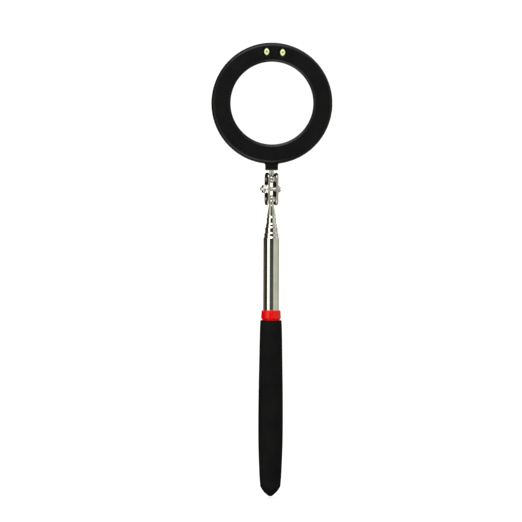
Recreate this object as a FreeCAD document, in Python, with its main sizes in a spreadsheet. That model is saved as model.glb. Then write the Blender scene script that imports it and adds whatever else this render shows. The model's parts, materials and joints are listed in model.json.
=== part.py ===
import FreeCAD, Part
import math
import os
import re

import Sketcher

os.makedirs("parts", exist_ok=True)

# A telescoping inspection mirror with a lighted round head, held upright and facing -Y.
# Lengths are in millimetres and angles in degrees. Heights named "_top", "_bottom" or
# "_height" on the wand are measured up from the handle's rounded tip.
SIZES = {
    # grip and collar
    "grip_length": 111.1,
    "grip_centre": 55.5,
    "grip_nose_radius": 1.0,
    "grip_toe_radius": 4.68,
    "grip_toe_height": 3.48,
    "grip_heel_radius": 6.5,
    "grip_heel_height": 7.4,
    "grip_low_radius": 7.4,
    "grip_low_height": 18.9,
    "grip_belly_radius": 7.8,
    "grip_belly_height": 37.8,
    "grip_middle_radius": 7.74,
    "grip_middle_height": 61.1,
    "grip_upper_radius": 7.35,
    "grip_upper_height": 83.3,
    "grip_neck_radius": 6.98,
    "grip_neck_height": 103.3,
    "grip_top_radius": 6.75,
    "collar_top": 117.4,
    "collar_low_radius": 6.4,
    "collar_high_radius": 5.95,
    "collar_spigot_radius": 5.7,
    "collar_spigot_length": 3.0,
    "collar_foot_round": 0.4,
    "collar_top_round": 0.9,
    # telescoping tubes
    "tube_bottom": 10.0,
    "tube_top": 163.7,
    "tube_diameter": 9.85,
    "tube_step": 1.0,
    "tube_wall": 0.3,
    "tube_rim": 1.2,
    "tube_bevel": 0.2,
    "travel": 118.0,
    "stop_gap": 0.5,
    "slide_clearance": 0.03,
    "bush_length": 6.0,
    "bush_slit": 0.8,
    "plug_flange": 2.0,
    "plug_depth": 6.0,
    "section_top_1": 166.5,
    "section_top_2": 170.2,
    "section_top_3": 172.3,
    "section_top_4": 176.5,
    # wand tip
    "ferrule_top": 183.0,
    "ferrule_gap": 0.05,
    "ferrule_low_radius": 2.65,
    "ferrule_high_radius": 1.65,
    "ferrule_spigot": 5.0,
    "ferrule_straight": 0.6,
    "ferrule_floor": 2.0,
    "ferrule_pocket_radius": 1.75,
    "stud_shoulder": 0.5,
    "stud_foot": 1.2,
    # ball joints
    "lower_ball_height": 187.5,
    "ball_spacing": 12.7,
    "ball_radius": 2.45,
    "shank_radius": 1.35,
    "turning_gap": 0.03,
    "stud_thread_end": 0.6,
    # clamp
    "clamp_yaw": 17.0,
    "plate_length": 20.7,
    "plate_width": 8.0,
    "plate_thickness": 1.45,
    "plate_gap": 4.5,
    "plate_curve_radius": 30.0,
    "ball_hole_radius": 1.12,
    "screw_radius": 1.25,
    "screw_hole_radius": 1.3,
    "screw_head_radius": 2.4,
    "screw_head_height": 2.4,
    "screw_head_straight": 0.8,
    "screw_head_shoulder": 1.9,
    "screw_crown_radius": 1.7,
    "screw_slot_width": 0.7,
    "screw_slot_depth": 1.1,
    "screw_end": 1.4,
    "nut_corner_radius": 2.88,
    "nut_thickness": 2.2,
    "clamp_nut_twist": 30.0,
    # head
    "ring_height": 247.8,
    "ring_radius": 38.2,
    "mirror_opening_radius": 25.7,
    "front_depth": 6.5,
    "back_depth": 6.0,
    "shell_wall": 1.6,
    "bezel_face": 1.8,
    "split_depth": 1.5,
    "bezel_round": 2.6,
    "bezel_lip_round": 1.2,
    "housing_round": 3.0,
    "housing_floor": 2.0,
    "tongue_length": 1.0,
    "tongue_wall": 0.6,
    "neck_half_width": 4.075,
    "neck_drop": 42.1,
    "neck_chamfer": 0.6,
    "neck_seat_drop": 36.0,
    "neck_seat_half_width": 4.5,
    "shoulder_radius": 1.8,
    "shoulder_height": 1.1,
    "shoulder_gap": 0.2,
    "shoulder_room": 0.3,
    "nut_side_room": 0.6,
    "nut_head_room": 1.2,
    # mirror stack
    "glass_radius": 27.0,
    "glass_thickness": 2.0,
    "glass_bevel": 0.3,
    "pad_radius": 26.5,
    "pad_thickness": 1.0,
    "tray_radius": 35.8,
    "tray_thickness": 1.2,
    "tray_root": 0.2,
    "tray_hole_gap": 0.15,
    "rib_gap": 1.6,
    "rib_thickness": 1.2,
    "rib_reach": 4.0,
    # lights
    "led_circle_radius": 32.5,
    "led_angle_left": 6.0,
    "led_angle_right": 11.8,
    "led_radius": 2.5,
    "led_hole_radius": 2.6,
    "led_flange_radius": 2.9,
    "led_flange_thickness": 1.0,
    "led_recess": 0.1,
    "led_dome_radius": 2.45,
    "board_front": 0.2,
    "board_thickness": 1.0,
    "board_inner_radius": 24.5,
    "board_outer_radius": 35.6,
    # cells and battery door
    "cell_radius": 10.0,
    "cell_thickness": 3.2,
    "cell_bevel": 0.4,
    "cell_side": 12.8,
    "cell_rise": 2.0,
    "contact_thickness": 0.3,
    "contact_half_width": 3.0,
    "bridge_gap": 0.5,
    "bridge_width": 4.0,
    "bridge_foot_gap": 0.1,
    "door_half_width": 24.6,
    "door_half_height": 12.0,
    "door_thickness": 1.2,
    "door_corner": 3.0,
    "door_gap": 0.15,
    "door_ledge": 1.0,
    "door_boss_radius": 2.2,
    "door_boss_gap": 0.1,
    "small_screw_radius": 1.0,
    "small_screw_head_radius": 1.8,
    "small_screw_head_height": 0.9,
    "small_screw_bore_gap": 0.1,
    "small_screw_seat_gap": 0.05,
    "door_screw_shank": 3.5,
    # case screws
    "case_screw_circle": 32.6,
    "case_screw_angle": 45.0,
    "case_boss_radius": 2.5,
    "case_post_radius": 3.2,
    "case_post_height": 2.1,
    "case_screw_sink": 1.0,
    "case_screw_shank": 5.5,
    "case_boss_root": 0.5,
    "case_boss_bore": 5.0,
    "cross_depth": 0.5,
    "cross_half_length": 1.08,
    "cross_half_width": 0.22,
    # light switch
    "switch_drop": 29.5,
    "switch_half_length": 4.3,
    "switch_half_width": 1.9,
    "switch_gap": 0.1,
    "switch_groove_floor": 1.4,
    "switch_travel": 2.5,
    "knob_half_length": 2.5,
    "knob_half_width": 1.9,
    "knob_stem_half_length": 1.5,
    "knob_stem_half_width": 1.0,
    "knob_stem_floor": 1.5,
    "knob_stem_end_room": 0.3,
    "knob_stem_side_room": 0.2,
    "knob_sink": 0.1,
    "knob_floor_gap": 0.05,
    "knob_recess_depth": 1.0,
    "knob_recess_margin": 0.6,
    "knob_groove": 0.35,
    # how far a cutting shape runs past the surface it opens
    "overshoot": 1.0,
}
SECTIONS = (1, 2, 3, 4, 5)
CASE_SCREW_SIDES = ((1, 1), (1, -1), (-1, 1), (-1, -1))
# the two ends of a cell's contact and of a bridge's foot, as shares of cell_side
CONTACT_ENDS = (0.4, 2.0)
BRIDGE_FOOT_ENDS = (0.7, 1.0)
# the knob's grooves, in widths of a groove from its middle
GROOVE_PLACES = (-4, 0, 4)

doc = FreeCAD.newDocument("inspection_mirror")
sheet = doc.addObject("Spreadsheet::Sheet", "Sizes")
for row, (name, value) in enumerate(SIZES.items(), start=1):
    sheet.set(f"A{row}", name)
    sheet.set(f"B{row}", str(value))
    sheet.setAlias(f"B{row}", name)
doc.recompute()

sub_parts = []


def size(name):
    """One number from the sheet."""
    return float(sheet.get(name))


def formula(text):
    """An expression that reads the sheet, made from one that uses the plain names."""
    return re.sub(r"[a-z]\w*", lambda word: named_cell(word.group()), text)


def named_cell(word):
    """A size's cell in the sheet, or the word itself when it is a function such as sin."""
    return f"Sizes.{word}" if word in SIZES else word


def turned(axis, angle):
    return FreeCAD.Rotation(FreeCAD.Vector(*axis), angle)


ALONG = {
    "x": turned((0, 1, 0), 90),
    "y": turned((1, 0, 0), -90),
    "z": turned((0, 0, 1), 0),
}


def moved(thing, x="0", y="0", z="0"):
    """Bind where a piece stands, keeping the way it is turned."""
    for axis, text in (("x", x), ("y", y), ("z", z)):
        thing.setExpression(f"Placement.Base.{axis}", formula(text))
    return thing


def cylinder(radius, length, x="0", y="0", z="0", along="z"):
    thing = doc.addObject("Part::Cylinder", "rod")
    thing.setExpression("Radius", formula(radius))
    thing.setExpression("Height", formula(length))
    thing.Placement = FreeCAD.Placement(FreeCAD.Vector(), ALONG[along])
    return moved(thing, x, y, z)


def sphere(radius, z):
    thing = doc.addObject("Part::Sphere", "ball")
    thing.setExpression("Radius", formula(radius))
    return moved(thing, z=z)


def hexagon(corner_radius, length, x="0", z="0", along="z", twist=0):
    """A hexagonal prism, turned about its own axis by an angle."""
    thing = doc.addObject("Part::Prism", "hexagon")
    thing.Polygon = 6
    thing.setExpression("Circumradius", formula(corner_radius))
    thing.setExpression("Height", formula(length))
    turn = ALONG[along] * turned((0, 0, 1), twist)
    thing.Placement = FreeCAD.Placement(FreeCAD.Vector(), turn)
    return moved(thing, x=x, z=z)


def block(x, y, z):
    """A box between two bounds along each axis."""
    thing = doc.addObject("Part::Box", "block")
    for side, (low, high) in (("Length", x), ("Width", y), ("Height", z)):
        thing.setExpression(side, formula(f"({high}) - ({low})"))
    return moved(thing, x[0], y[0], z[0])


def joined(*things):
    if len(things) == 1:
        return things[0]
    whole = doc.addObject("Part::MultiFuse", "joined")
    whole.Shapes = list(things)
    return whole


def cut(base, *tools):
    rest = doc.addObject("Part::Cut", "cut")
    rest.Base = base
    rest.Tool = joined(*tools)
    return rest


def shared(first, second):
    both = doc.addObject("Part::Common", "shared")
    both.Base = first
    both.Tool = second
    return both


def group(*things):
    several = doc.addObject("Part::Compound", "group")
    several.Links = list(things)
    return several


def profile(body, plane, corners):
    """A closed polygon on one of the body's own planes, each corner bound to the sheet."""
    sketch = body.newObject("Sketcher::SketchObject", "profile")
    origin_planes = {item.Role: item for item in body.Origin.OriginFeatures}
    sketch.AttachmentSupport = (origin_planes[plane], [""])
    sketch.MapMode = "FlatFace"
    count = len(corners)
    around = [2 * math.pi * index / count for index in range(count + 1)]
    points = [FreeCAD.Vector(5 + math.cos(turn), 5 + math.sin(turn), 0) for turn in around]
    for index in range(count):
        sketch.addGeometry(Part.LineSegment(points[index], points[index + 1]))
    for index in range(count):
        sketch.addConstraint(Sketcher.Constraint("Coincident", index, 2, (index + 1) % count, 1))
    for index, (across, up) in enumerate(corners):
        pin_corner(sketch, index, "DistanceX", -2, across)
        pin_corner(sketch, index, "DistanceY", -1, up)
    return sketch


def pin_corner(sketch, corner, kind, axis, text):
    """Hold one coordinate of a corner to an expression, or to the axis where it is zero."""
    if text == "0":
        sketch.addConstraint(Sketcher.Constraint("PointOnObject", corner, 1, axis))
        return
    number = sketch.addConstraint(Sketcher.Constraint(kind, -1, 1, corner, 1, 5.0))
    name = f"{kind}{corner}"
    sketch.renameConstraint(number, name)
    sketch.setExpression(f"Constraints.{name}", formula(text))


def revolved(plane, corners, rounds=()):
    """A profile turned about its plane's upright axis. Each round is (corner, radius)."""
    body = doc.addObject("PartDesign::Body", "turned")
    sketch = profile(body, plane, corners)
    turn = body.newObject("PartDesign::Revolution", "revolution")
    turn.Profile = sketch
    turn.ReferenceAxis = (sketch, ["V_Axis"])
    turn.Angle = 360
    doc.recompute()
    tip = turn
    for corner, radius in rounds:
        place = sketch.Geometry[corner].StartPoint
        fillet = body.newObject("PartDesign::Fillet", "round")
        fillet.Base = (tip, circles_at(tip.Shape, plane, place))
        fillet.setExpression("Radius", formula(radius))
        doc.recompute()
        tip = fillet
    return body


def circles_at(shape, plane, place):
    """The names of the circular edges that a profile's corner sweeps."""
    names = []
    for number, edge in enumerate(shape.Edges, start=1):
        if not isinstance(edge.Curve, Part.Circle):
            continue
        centre = edge.Curve.Center
        level = centre.z if plane == "XZ_Plane" else centre.y
        if abs(edge.Curve.Radius - place.x) < 0.001 and abs(level - place.y) < 0.001:
            names.append(f"Edge{number}")
    return names


def padded(plane, corners, length):
    """A polygon raised by a length along its plane's normal."""
    body = doc.addObject("PartDesign::Body", "raised")
    sketch = profile(body, plane, corners)
    pad = body.newObject("PartDesign::Pad", "pad")
    pad.Profile = sketch
    pad.setExpression("Length", formula(length))
    return body


def ring(plane, inner, outer, low, high):
    corners = [(inner, low), (outer, low), (outer, high), (inner, high)]
    return revolved(plane, corners)


def on_wand(label, thing):
    """A sub-part drawn with the handle's tip at zero height."""
    thing.Label = label
    moved(thing, z="-grip_centre")
    sub_parts.append(thing)


def on_head(label, thing):
    """A sub-part drawn about the ring's centre."""
    thing.Label = label
    moved(thing, z="ring_height - grip_centre")
    sub_parts.append(thing)


def on_clamp(label, thing):
    """A sub-part drawn about the clamp screw's middle, with X along the screw."""
    thing.Label = label
    thing.Placement = FreeCAD.Placement(FreeCAD.Vector(), ALONG["z"])
    thing.setExpression("Placement.Rotation.Angle", formula("clamp_yaw"))
    moved(thing, z="lower_ball_height + ball_spacing / 2 - grip_centre")
    sub_parts.append(thing)


# ---------------------------------------------------------------- handle and tubes


def tube_radius(section):
    """A tube's outer radius. Section 0 is the fixed outer tube."""
    return f"(tube_diameter / 2 - {section} * tube_step / 2)"


def bore_radius(section):
    return f"({tube_radius(section)} - tube_wall)"


def section_top(section):
    return "tube_top" if section == 0 else f"section_top_{section}"


def section_bottom(section):
    """Where a section ends inside its parent, so that its bush stops it after its travel."""
    rim = f"{section_top(section - 1)} - tube_rim"
    return f"({rim} - stop_gap - travel - bush_length)"


def tube(section, bottom, top):
    """A thin tube whose upper end is rolled in to guide the next section."""
    outer = tube_radius(section)
    bore = bore_radius(section)
    guide = f"{tube_radius(section + 1)} + slide_clearance"
    corners = [
        (bore, bottom),
        (outer, bottom),
        (outer, f"{top} - tube_bevel"),
        (f"{outer} - tube_bevel", top),
        (guide, top),
        (guide, f"{top} - tube_rim"),
        (bore, f"{top} - tube_rim"),
    ]
    return revolved("XZ_Plane", corners)


def tip_tube():
    """The last section, open at the top to take the ferrule."""
    top = "section_top_4 + ferrule_gap"
    return ring("XZ_Plane", bore_radius(5), tube_radius(5), section_bottom(5), top)


def slide_bush(section):
    """A split spring sleeve on a section's lower end, which rubs inside its parent."""
    bottom = section_bottom(section)
    top = f"{bottom} + bush_length"
    outer = f"{bore_radius(section - 1)} - slide_clearance"
    sleeve = ring("XZ_Plane", tube_radius(section), outer, bottom, top)
    slit = block(
        ("0", "tube_diameter"),
        ("-bush_slit / 2", "bush_slit / 2"),
        (f"{bottom} - overshoot", f"{top} + overshoot"),
    )
    return cut(sleeve, slit)


def handle_grip():
    """A soft sleeve, closed and rounded at the bottom, swelling to a belly in the palm."""
    length = size("grip_length")
    centre = FreeCAD.Vector(0, 0, 0)
    nose_edge = FreeCAD.Vector(size("grip_nose_radius"), 0, 0)
    top_edge = FreeCAD.Vector(size("grip_top_radius"), 0, length)
    top_centre = FreeCAD.Vector(0, 0, length)
    toe, heel, *side = [
        FreeCAD.Vector(size(f"grip_{part}_radius"), 0, size(f"grip_{part}_height"))
        for part in ("toe", "heel", "low", "belly", "middle", "upper", "neck")
    ]
    outline = Part.BSplineCurve()
    outline.interpolate([heel, *side, top_edge])
    edges = [
        Part.LineSegment(centre, nose_edge).toShape(),
        Part.Arc(nose_edge, toe, heel).toShape(),
        outline.toShape(),
        Part.LineSegment(top_edge, top_centre).toShape(),
        Part.LineSegment(top_centre, centre).toShape(),
    ]
    solid = Part.Face(Part.Wire(edges)).revolve(centre, FreeCAD.Vector(0, 0, 1), 360)
    bore_bottom = size("tube_bottom") - size("plug_flange")
    bore = Part.makeCylinder(
        size("tube_diameter") / 2, length, FreeCAD.Vector(0, 0, bore_bottom)
    )
    socket_bottom = length - size("collar_spigot_length")
    socket = Part.makeCylinder(
        size("collar_spigot_radius"), length, FreeCAD.Vector(0, 0, socket_bottom)
    )
    grip = doc.addObject("Part::Feature", "grip")
    grip.Shape = solid.cut(bore).cut(socket)
    return grip


def grip_collar():
    """A glossy ring that caps the grip and plugs into its mouth."""
    tube_outside = tube_radius(0)
    corners = [
        (tube_outside, "grip_length - collar_spigot_length"),
        ("collar_spigot_radius", "grip_length - collar_spigot_length"),
        ("collar_spigot_radius", "grip_length"),
        ("collar_low_radius", "grip_length"),
        ("collar_high_radius", "collar_top"),
        (tube_outside, "collar_top"),
    ]
    return revolved("XZ_Plane", corners, rounds=[(3, "collar_foot_round"), (4, "collar_top_round")])


def end_plug():
    corners = [
        ("0", "tube_bottom - plug_flange"),
        (tube_radius(0), "tube_bottom - plug_flange"),
        (tube_radius(0), "tube_bottom"),
        (bore_radius(0), "tube_bottom"),
        (bore_radius(0), "tube_bottom + plug_depth"),
        ("0", "tube_bottom + plug_depth"),
    ]
    return revolved("XZ_Plane", corners)


on_wand("handle_grip", handle_grip())
on_wand("grip_collar", grip_collar())
on_wand("tube_end_plug", end_plug())
on_wand("outer_tube", tube(0, "tube_bottom", "tube_top"))
for section in SECTIONS:
    if section == SECTIONS[-1]:
        on_wand(f"tube_section_{section}", tip_tube())
    else:
        on_wand(
            f"tube_section_{section}",
            tube(section, section_bottom(section), section_top(section)),
        )
    on_wand(f"slide_bush_{section}", slide_bush(section))


# ---------------------------------------------------------------- wand tip and ball joints


def tip_ferrule():
    """The cone on the last tube, hollow so that the ball stud can swivel in it."""
    low = "section_top_4 + ferrule_gap"
    foot_level = f"{low} + ferrule_floor"
    corners = [
        ("ferrule_pocket_radius", f"{low} - ferrule_spigot"),
        (bore_radius(5), f"{low} - ferrule_spigot"),
        (bore_radius(5), low),
        ("ferrule_low_radius", low),
        ("ferrule_low_radius", f"{low} + ferrule_straight"),
        ("ferrule_high_radius", "ferrule_top"),
        ("shank_radius + turning_gap", "ferrule_top"),
        ("shank_radius + turning_gap", foot_level),
        ("ferrule_pocket_radius", foot_level),
    ]
    return revolved("XZ_Plane", corners)


def tip_ball_stud():
    """A ball on a shank, with a shoulder on the ferrule and a riveted foot inside it."""
    foot_top = "section_top_4 + ferrule_gap + ferrule_floor - turning_gap"
    ball = sphere("ball_radius", "lower_ball_height")
    shank = cylinder("shank_radius", f"lower_ball_height - ({foot_top})", z=foot_top)
    shoulder = cylinder(
        "ferrule_high_radius", "stud_shoulder", z="ferrule_top + turning_gap"
    )
    foot = cylinder(
        "ferrule_pocket_radius - turning_gap", "stud_foot", z=f"{foot_top} - stud_foot"
    )
    return joined(ball, shank, shoulder, foot)


def head_ball_stud():
    """A ball whose shank goes up through the neck and is held by a nut inside the head."""
    ball_height = "lower_ball_height + ball_spacing"
    neck_bottom = "ring_height - neck_drop"
    shank_top = "ring_height - neck_seat_drop + nut_thickness + stud_thread_end"
    ball = sphere("ball_radius", ball_height)
    shank = cylinder("shank_radius", f"{shank_top} - ({ball_height})", z=ball_height)
    shoulder = cylinder(
        "shoulder_radius",
        "shoulder_height - turning_gap",
        z=f"{neck_bottom} + shoulder_gap",
    )
    return joined(ball, shank, shoulder)


def stud_nut():
    """The nut that keeps the head on its ball stud, screwed fast to the stud."""
    bottom = "ring_height - neck_seat_drop + turning_gap"
    nut = hexagon("nut_corner_radius", "nut_thickness", z=bottom)
    bore = cylinder("shank_radius", "nut_thickness + 2 * overshoot", z=f"{bottom} - overshoot")
    return cut(nut, bore)


on_wand("tip_ferrule", tip_ferrule())
on_wand("tip_ball_stud", tip_ball_stud())
on_wand("head_ball_stud", head_ball_stud())
on_wand("stud_nut", stud_nut())


# ---------------------------------------------------------------- clamp


def plate_outline():
    """A long plate's round-ended outline, deep enough along X to hold its curved section."""
    depth = "plate_gap + 4 * plate_thickness"
    end_shift = "(plate_length - plate_width) / 2"
    upper = cylinder("plate_width / 2", depth, z=end_shift, along="x")
    lower = cylinder("plate_width / 2", depth, z=f"-{end_shift}", along="x")
    middle = block(
        ("0", depth),
        ("-plate_width / 2", "plate_width / 2"),
        (f"-{end_shift}", end_shift),
    )
    return joined(upper, lower, middle)


def clamp_plate(side):
    """One pressed plate, bowed outwards, with seats for both balls and the screw's hole."""
    outer_face = "plate_gap / 2 + plate_thickness"
    axis_shift = f"{outer_face} - plate_curve_radius"
    bow_outside = cylinder(
        "plate_curve_radius", "2 * plate_length", x=axis_shift, z="-plate_length"
    )
    bow_inside = cylinder(
        "plate_curve_radius - plate_thickness",
        "2 * plate_length",
        x=axis_shift,
        z="-plate_length",
    )
    sheet_metal = shared(plate_outline(), cut(bow_outside, bow_inside))
    reach = "plate_gap + 4 * plate_thickness"
    holes = [cylinder("screw_hole_radius", reach, along="x")]
    for end in (1, -1):
        level = f"{end} * ball_spacing / 2"
        holes.append(cylinder("ball_hole_radius", reach, z=level, along="x"))
    plate = cut(sheet_metal, *holes)
    if side > 0:
        return plate
    mirrored = doc.addObject("Part::Mirroring", "mirrored")
    mirrored.Source = plate
    mirrored.Normal = FreeCAD.Vector(1, 0, 0)
    return group(mirrored)


def clamp_screw():
    """A slotted round-head screw through the middle of both plates."""
    face = "plate_gap / 2 + plate_thickness + turning_gap"
    head_end = f"{face} + screw_head_height"
    shank_end = f"{face} + nut_thickness + screw_end"
    length = f"{shank_end} + {face}"
    shank = cylinder("screw_radius", length, x=f"-({shank_end})", along="x")
    head = revolved(
        "XZ_Plane",
        [
            ("0", face),
            ("screw_head_radius", face),
            ("screw_head_radius", f"{face} + screw_head_straight"),
            ("screw_crown_radius", f"{face} + screw_head_shoulder"),
            ("0", head_end),
        ],
    )
    head.Placement = FreeCAD.Placement(FreeCAD.Vector(), ALONG["x"])
    slot = block(
        (f"{head_end} - screw_slot_depth", f"{head_end} + overshoot"),
        ("-screw_head_radius - overshoot", "screw_head_radius + overshoot"),
        ("-screw_slot_width / 2", "screw_slot_width / 2"),
    )
    return cut(joined(shank, head), slot)


def clamp_nut():
    face = "plate_gap / 2 + plate_thickness"
    start = f"-({face} + nut_thickness)"
    twist = size("clamp_nut_twist")
    nut = hexagon("nut_corner_radius", "nut_thickness", x=start, along="x", twist=twist)
    bore = cylinder(
        "screw_radius + turning_gap",
        "nut_thickness + 2 * overshoot",
        x=f"{start} - overshoot",
        along="x",
    )
    return cut(nut, bore)


on_clamp("clamp_plate_left", clamp_plate(-1))
on_clamp("clamp_plate_right", clamp_plate(1))
on_clamp("clamp_screw", clamp_screw())
on_clamp("clamp_nut", clamp_nut())


# ---------------------------------------------------------------- head


def case_screw_places():
    """Where the four case screws stand, as expressions for X and Z."""
    places = []
    for right, up in CASE_SCREW_SIDES:
        x = f"{right} * case_screw_circle * cos(case_screw_angle * 1deg)"
        z = f"{up} * case_screw_circle * sin(case_screw_angle * 1deg)"
        places.append((x, z))
    return places


def led_places():
    """Where the two lights stand above the mirror, left one first."""
    places = []
    for side, angle in ((-1, "led_angle_left"), (1, "led_angle_right")):
        x = f"{side} * led_circle_radius * sin({angle} * 1deg)"
        z = f"led_circle_radius * cos({angle} * 1deg)"
        places.append((x, z))
    return places


def posts(places, radius, low, high):
    """Upright cylinders along Y between two depths."""
    length = f"({high}) - ({low})"
    return [cylinder(radius, length, x=x, y=low, z=z, along="y") for x, z in places]


def front_bezel():
    """The black ring around the mirror, with two light holes and four screw bosses."""
    face_back = "-front_depth + bezel_face"
    corners = [
        ("mirror_opening_radius", "-front_depth"),
        ("ring_radius", "-front_depth"),
        ("ring_radius", "-split_depth"),
        ("ring_radius - shell_wall", "-split_depth"),
        ("ring_radius - shell_wall", face_back),
        ("mirror_opening_radius", face_back),
    ]
    rounds = [(1, "bezel_round"), (0, "bezel_lip_round")]
    shell = revolved("XY_Plane", corners, rounds)
    post_end = "back_depth - housing_floor - case_post_height"
    boss_root = f"{face_back} - case_boss_root"
    bosses = posts(case_screw_places(), "case_boss_radius", boss_root, post_end)
    holes = posts(led_places(), "led_hole_radius", "-front_depth - overshoot", "0")
    bore_end = f"{post_end} - case_boss_bore"
    bores = posts(case_screw_places(), "small_screw_radius", bore_end, "back_depth")
    return cut(joined(shell, *bosses), *holes, *bores)


def door_outline(margin, low, high):
    """The battery door's round-cornered outline, grown by a margin, between two depths."""
    half_x = f"door_half_width + {margin}"
    half_z = f"door_half_height + {margin}"
    inner_x = f"{half_x} - door_corner"
    inner_z = f"{half_z} - door_corner"
    low_z = f"cell_rise - ({half_z})"
    high_z = f"cell_rise + {half_z}"
    wide = block(
        (f"-({half_x})", half_x),
        (low, high),
        (f"cell_rise - ({inner_z})", f"cell_rise + {inner_z}"),
    )
    tall = block((f"-({inner_x})", inner_x), (low, high), (low_z, high_z))
    corners = []
    for right in (1, -1):
        for up in (1, -1):
            place = (f"{right} * ({inner_x})", f"cell_rise + {up} * ({inner_z})")
            corners += posts([place], "door_corner", low, high)
    return joined(wide, tall, *corners)


def rear_housing():
    """The back shell with its neck, battery opening, switch recess and screw posts."""
    inside = "ring_radius - shell_wall"
    floor_inside = "back_depth - housing_floor"
    corners = [
        ("0", "back_depth"),
        ("ring_radius", "back_depth"),
        ("ring_radius", "-split_depth"),
        (inside, "-split_depth"),
        (inside, "-split_depth - tongue_length"),
        (f"{inside} - tongue_wall", "-split_depth - tongue_length"),
        (f"{inside} - tongue_wall", floor_inside),
        ("0", floor_inside),
    ]
    shell = revolved("XY_Plane", corners, rounds=[(1, "housing_round")])
    neck = cut(
        neck_block(),
        cylinder("ring_radius", "front_depth", y="-split_depth - front_depth", along="y"),
    )
    seat = block(
        ("-neck_seat_half_width", "neck_seat_half_width"),
        ("-split_depth", "back_depth - housing_floor / 2"),
        ("-ring_radius + shell_wall / 2", "-neck_seat_drop"),
    )
    screw_posts = posts(
        case_screw_places(),
        "case_post_radius",
        f"{floor_inside} - case_post_height",
        "back_depth - case_boss_root",
    )
    solid = joined(shell, neck, seat, *screw_posts)
    drop = "-switch_drop"
    outside = "back_depth + overshoot"
    slot_half = "knob_stem_half_length + knob_stem_end_room"
    slot_side = "knob_stem_half_width + knob_stem_side_room"
    recess_half = "knob_half_length + knob_recess_margin"
    slot = block(
        (f"-({slot_half})", f"{slot_half} + switch_travel"),
        (f"{floor_inside} - overshoot", outside),
        (f"{drop} - ({slot_side})", f"{drop} + {slot_side}"),
    )
    recess = block(
        (f"-({recess_half})", f"{recess_half} + switch_travel"),
        ("back_depth - knob_recess_depth", outside),
        (
            f"{drop} - knob_half_width - knob_recess_margin",
            f"{drop} + knob_half_width + knob_recess_margin",
        ),
    )
    neck_outside = "-neck_drop - overshoot"
    stud_bore = cylinder(
        "shank_radius + turning_gap",
        "neck_drop - neck_seat_drop + 2 * overshoot",
        z=neck_outside,
    )
    shoulder_bore = cylinder(
        "shoulder_radius + turning_gap",
        "shoulder_height + shoulder_room + overshoot",
        z=neck_outside,
    )
    places = case_screw_places()
    head_bores = posts(
        places,
        "small_screw_head_radius + small_screw_bore_gap",
        "back_depth - case_screw_sink",
        outside,
    )
    shank_radius = "small_screw_radius + small_screw_bore_gap"
    shank_bores = posts(places, shank_radius, "0", "back_depth")
    nut_room = stud_notch(
        "-split_depth - tongue_length - overshoot", "nut_corner_radius + nut_side_room"
    )
    door_opening = door_outline("-door_ledge", f"{floor_inside} - overshoot", outside)
    door_pocket = door_outline("door_gap", "back_depth - door_thickness", outside)
    return cut(
        solid,
        slot,
        recess,
        stud_bore,
        shoulder_bore,
        nut_room,
        door_opening,
        door_pocket,
        *head_bores,
        *shank_bores,
    )


def neck_block():
    """The square neck below the ring, bevelled around its lower edge."""
    half = "neck_half_width"
    slim = "neck_half_width - neck_chamfer"
    top = "-ring_radius + shell_wall"
    corners = [
        (f"-({slim})", "-neck_drop"),
        (slim, "-neck_drop"),
        (half, "-neck_drop + neck_chamfer"),
        (half, top),
        (f"-{half}", top),
        (f"-{half}", "-neck_drop + neck_chamfer"),
    ]
    bar = padded("XZ_Plane", corners, "2 * neck_half_width")
    moved(bar, y="neck_half_width")
    return bar


def mirror_glass():
    front = "-front_depth + bezel_face"
    back = f"{front} + glass_thickness"
    corners = [
        ("0", front),
        ("glass_radius - glass_bevel", front),
        ("glass_radius", f"{front} + glass_bevel"),
        ("glass_radius", back),
        ("0", back),
    ]
    return revolved("XY_Plane", corners)


PAD_FRONT = "-front_depth + bezel_face + glass_thickness"
TRAY_FRONT = f"{PAD_FRONT} + pad_thickness"
TRAY_BACK = f"{TRAY_FRONT} + tray_thickness"
CELL_FRONT = f"{TRAY_BACK} + contact_thickness"
CELL_BACK = f"{CELL_FRONT} + cell_thickness"
BOARD_BACK = "board_front + board_thickness"
DOOR_FRONT = "back_depth - door_thickness"


def mirror_pad():
    return ring("XY_Plane", "0", "pad_radius", PAD_FRONT, TRAY_FRONT)


def stud_notch(low, high):
    """Room around the stud's nut, in whatever reaches down to it."""
    half = "nut_corner_radius + nut_side_room"
    top = "-neck_seat_drop + nut_thickness + nut_head_room"
    return block((f"-({half})", half), (low, high), ("-neck_seat_drop", top))


def inner_tray():
    """The plate that backs the mirror and carries the cells and the door screw's boss."""
    plate = ring("XY_Plane", "0", "tray_radius", TRAY_FRONT, TRAY_BACK)
    root = f"{TRAY_FRONT} + tray_root"
    in_front = f"{TRAY_FRONT} - overshoot"
    door_boss = posts(
        [("0", "cell_rise")], "door_boss_radius", root, f"{DOOR_FRONT} - door_boss_gap"
    )
    rib_level = "cell_rise - cell_radius - rib_gap"
    rib = block(
        ("-cell_side - rib_reach", "cell_side + rib_reach"),
        (root, BOARD_BACK),
        (f"{rib_level} - rib_thickness", rib_level),
    )
    boss_hole_radius = "case_boss_radius + tray_hole_gap"
    boss_holes = posts(case_screw_places(), boss_hole_radius, in_front, "board_front")
    led_hole_radius = "led_flange_radius + tray_hole_gap"
    led_holes = posts(led_places(), led_hole_radius, in_front, "board_front")
    screw_bore = posts(
        [("0", "cell_rise")], "small_screw_radius + turning_gap", "0", "back_depth"
    )
    notch = stud_notch(in_front, "board_front")
    return cut(joined(plate, *door_boss, rib), *boss_holes, *led_holes, *screw_bore, notch)


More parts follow.
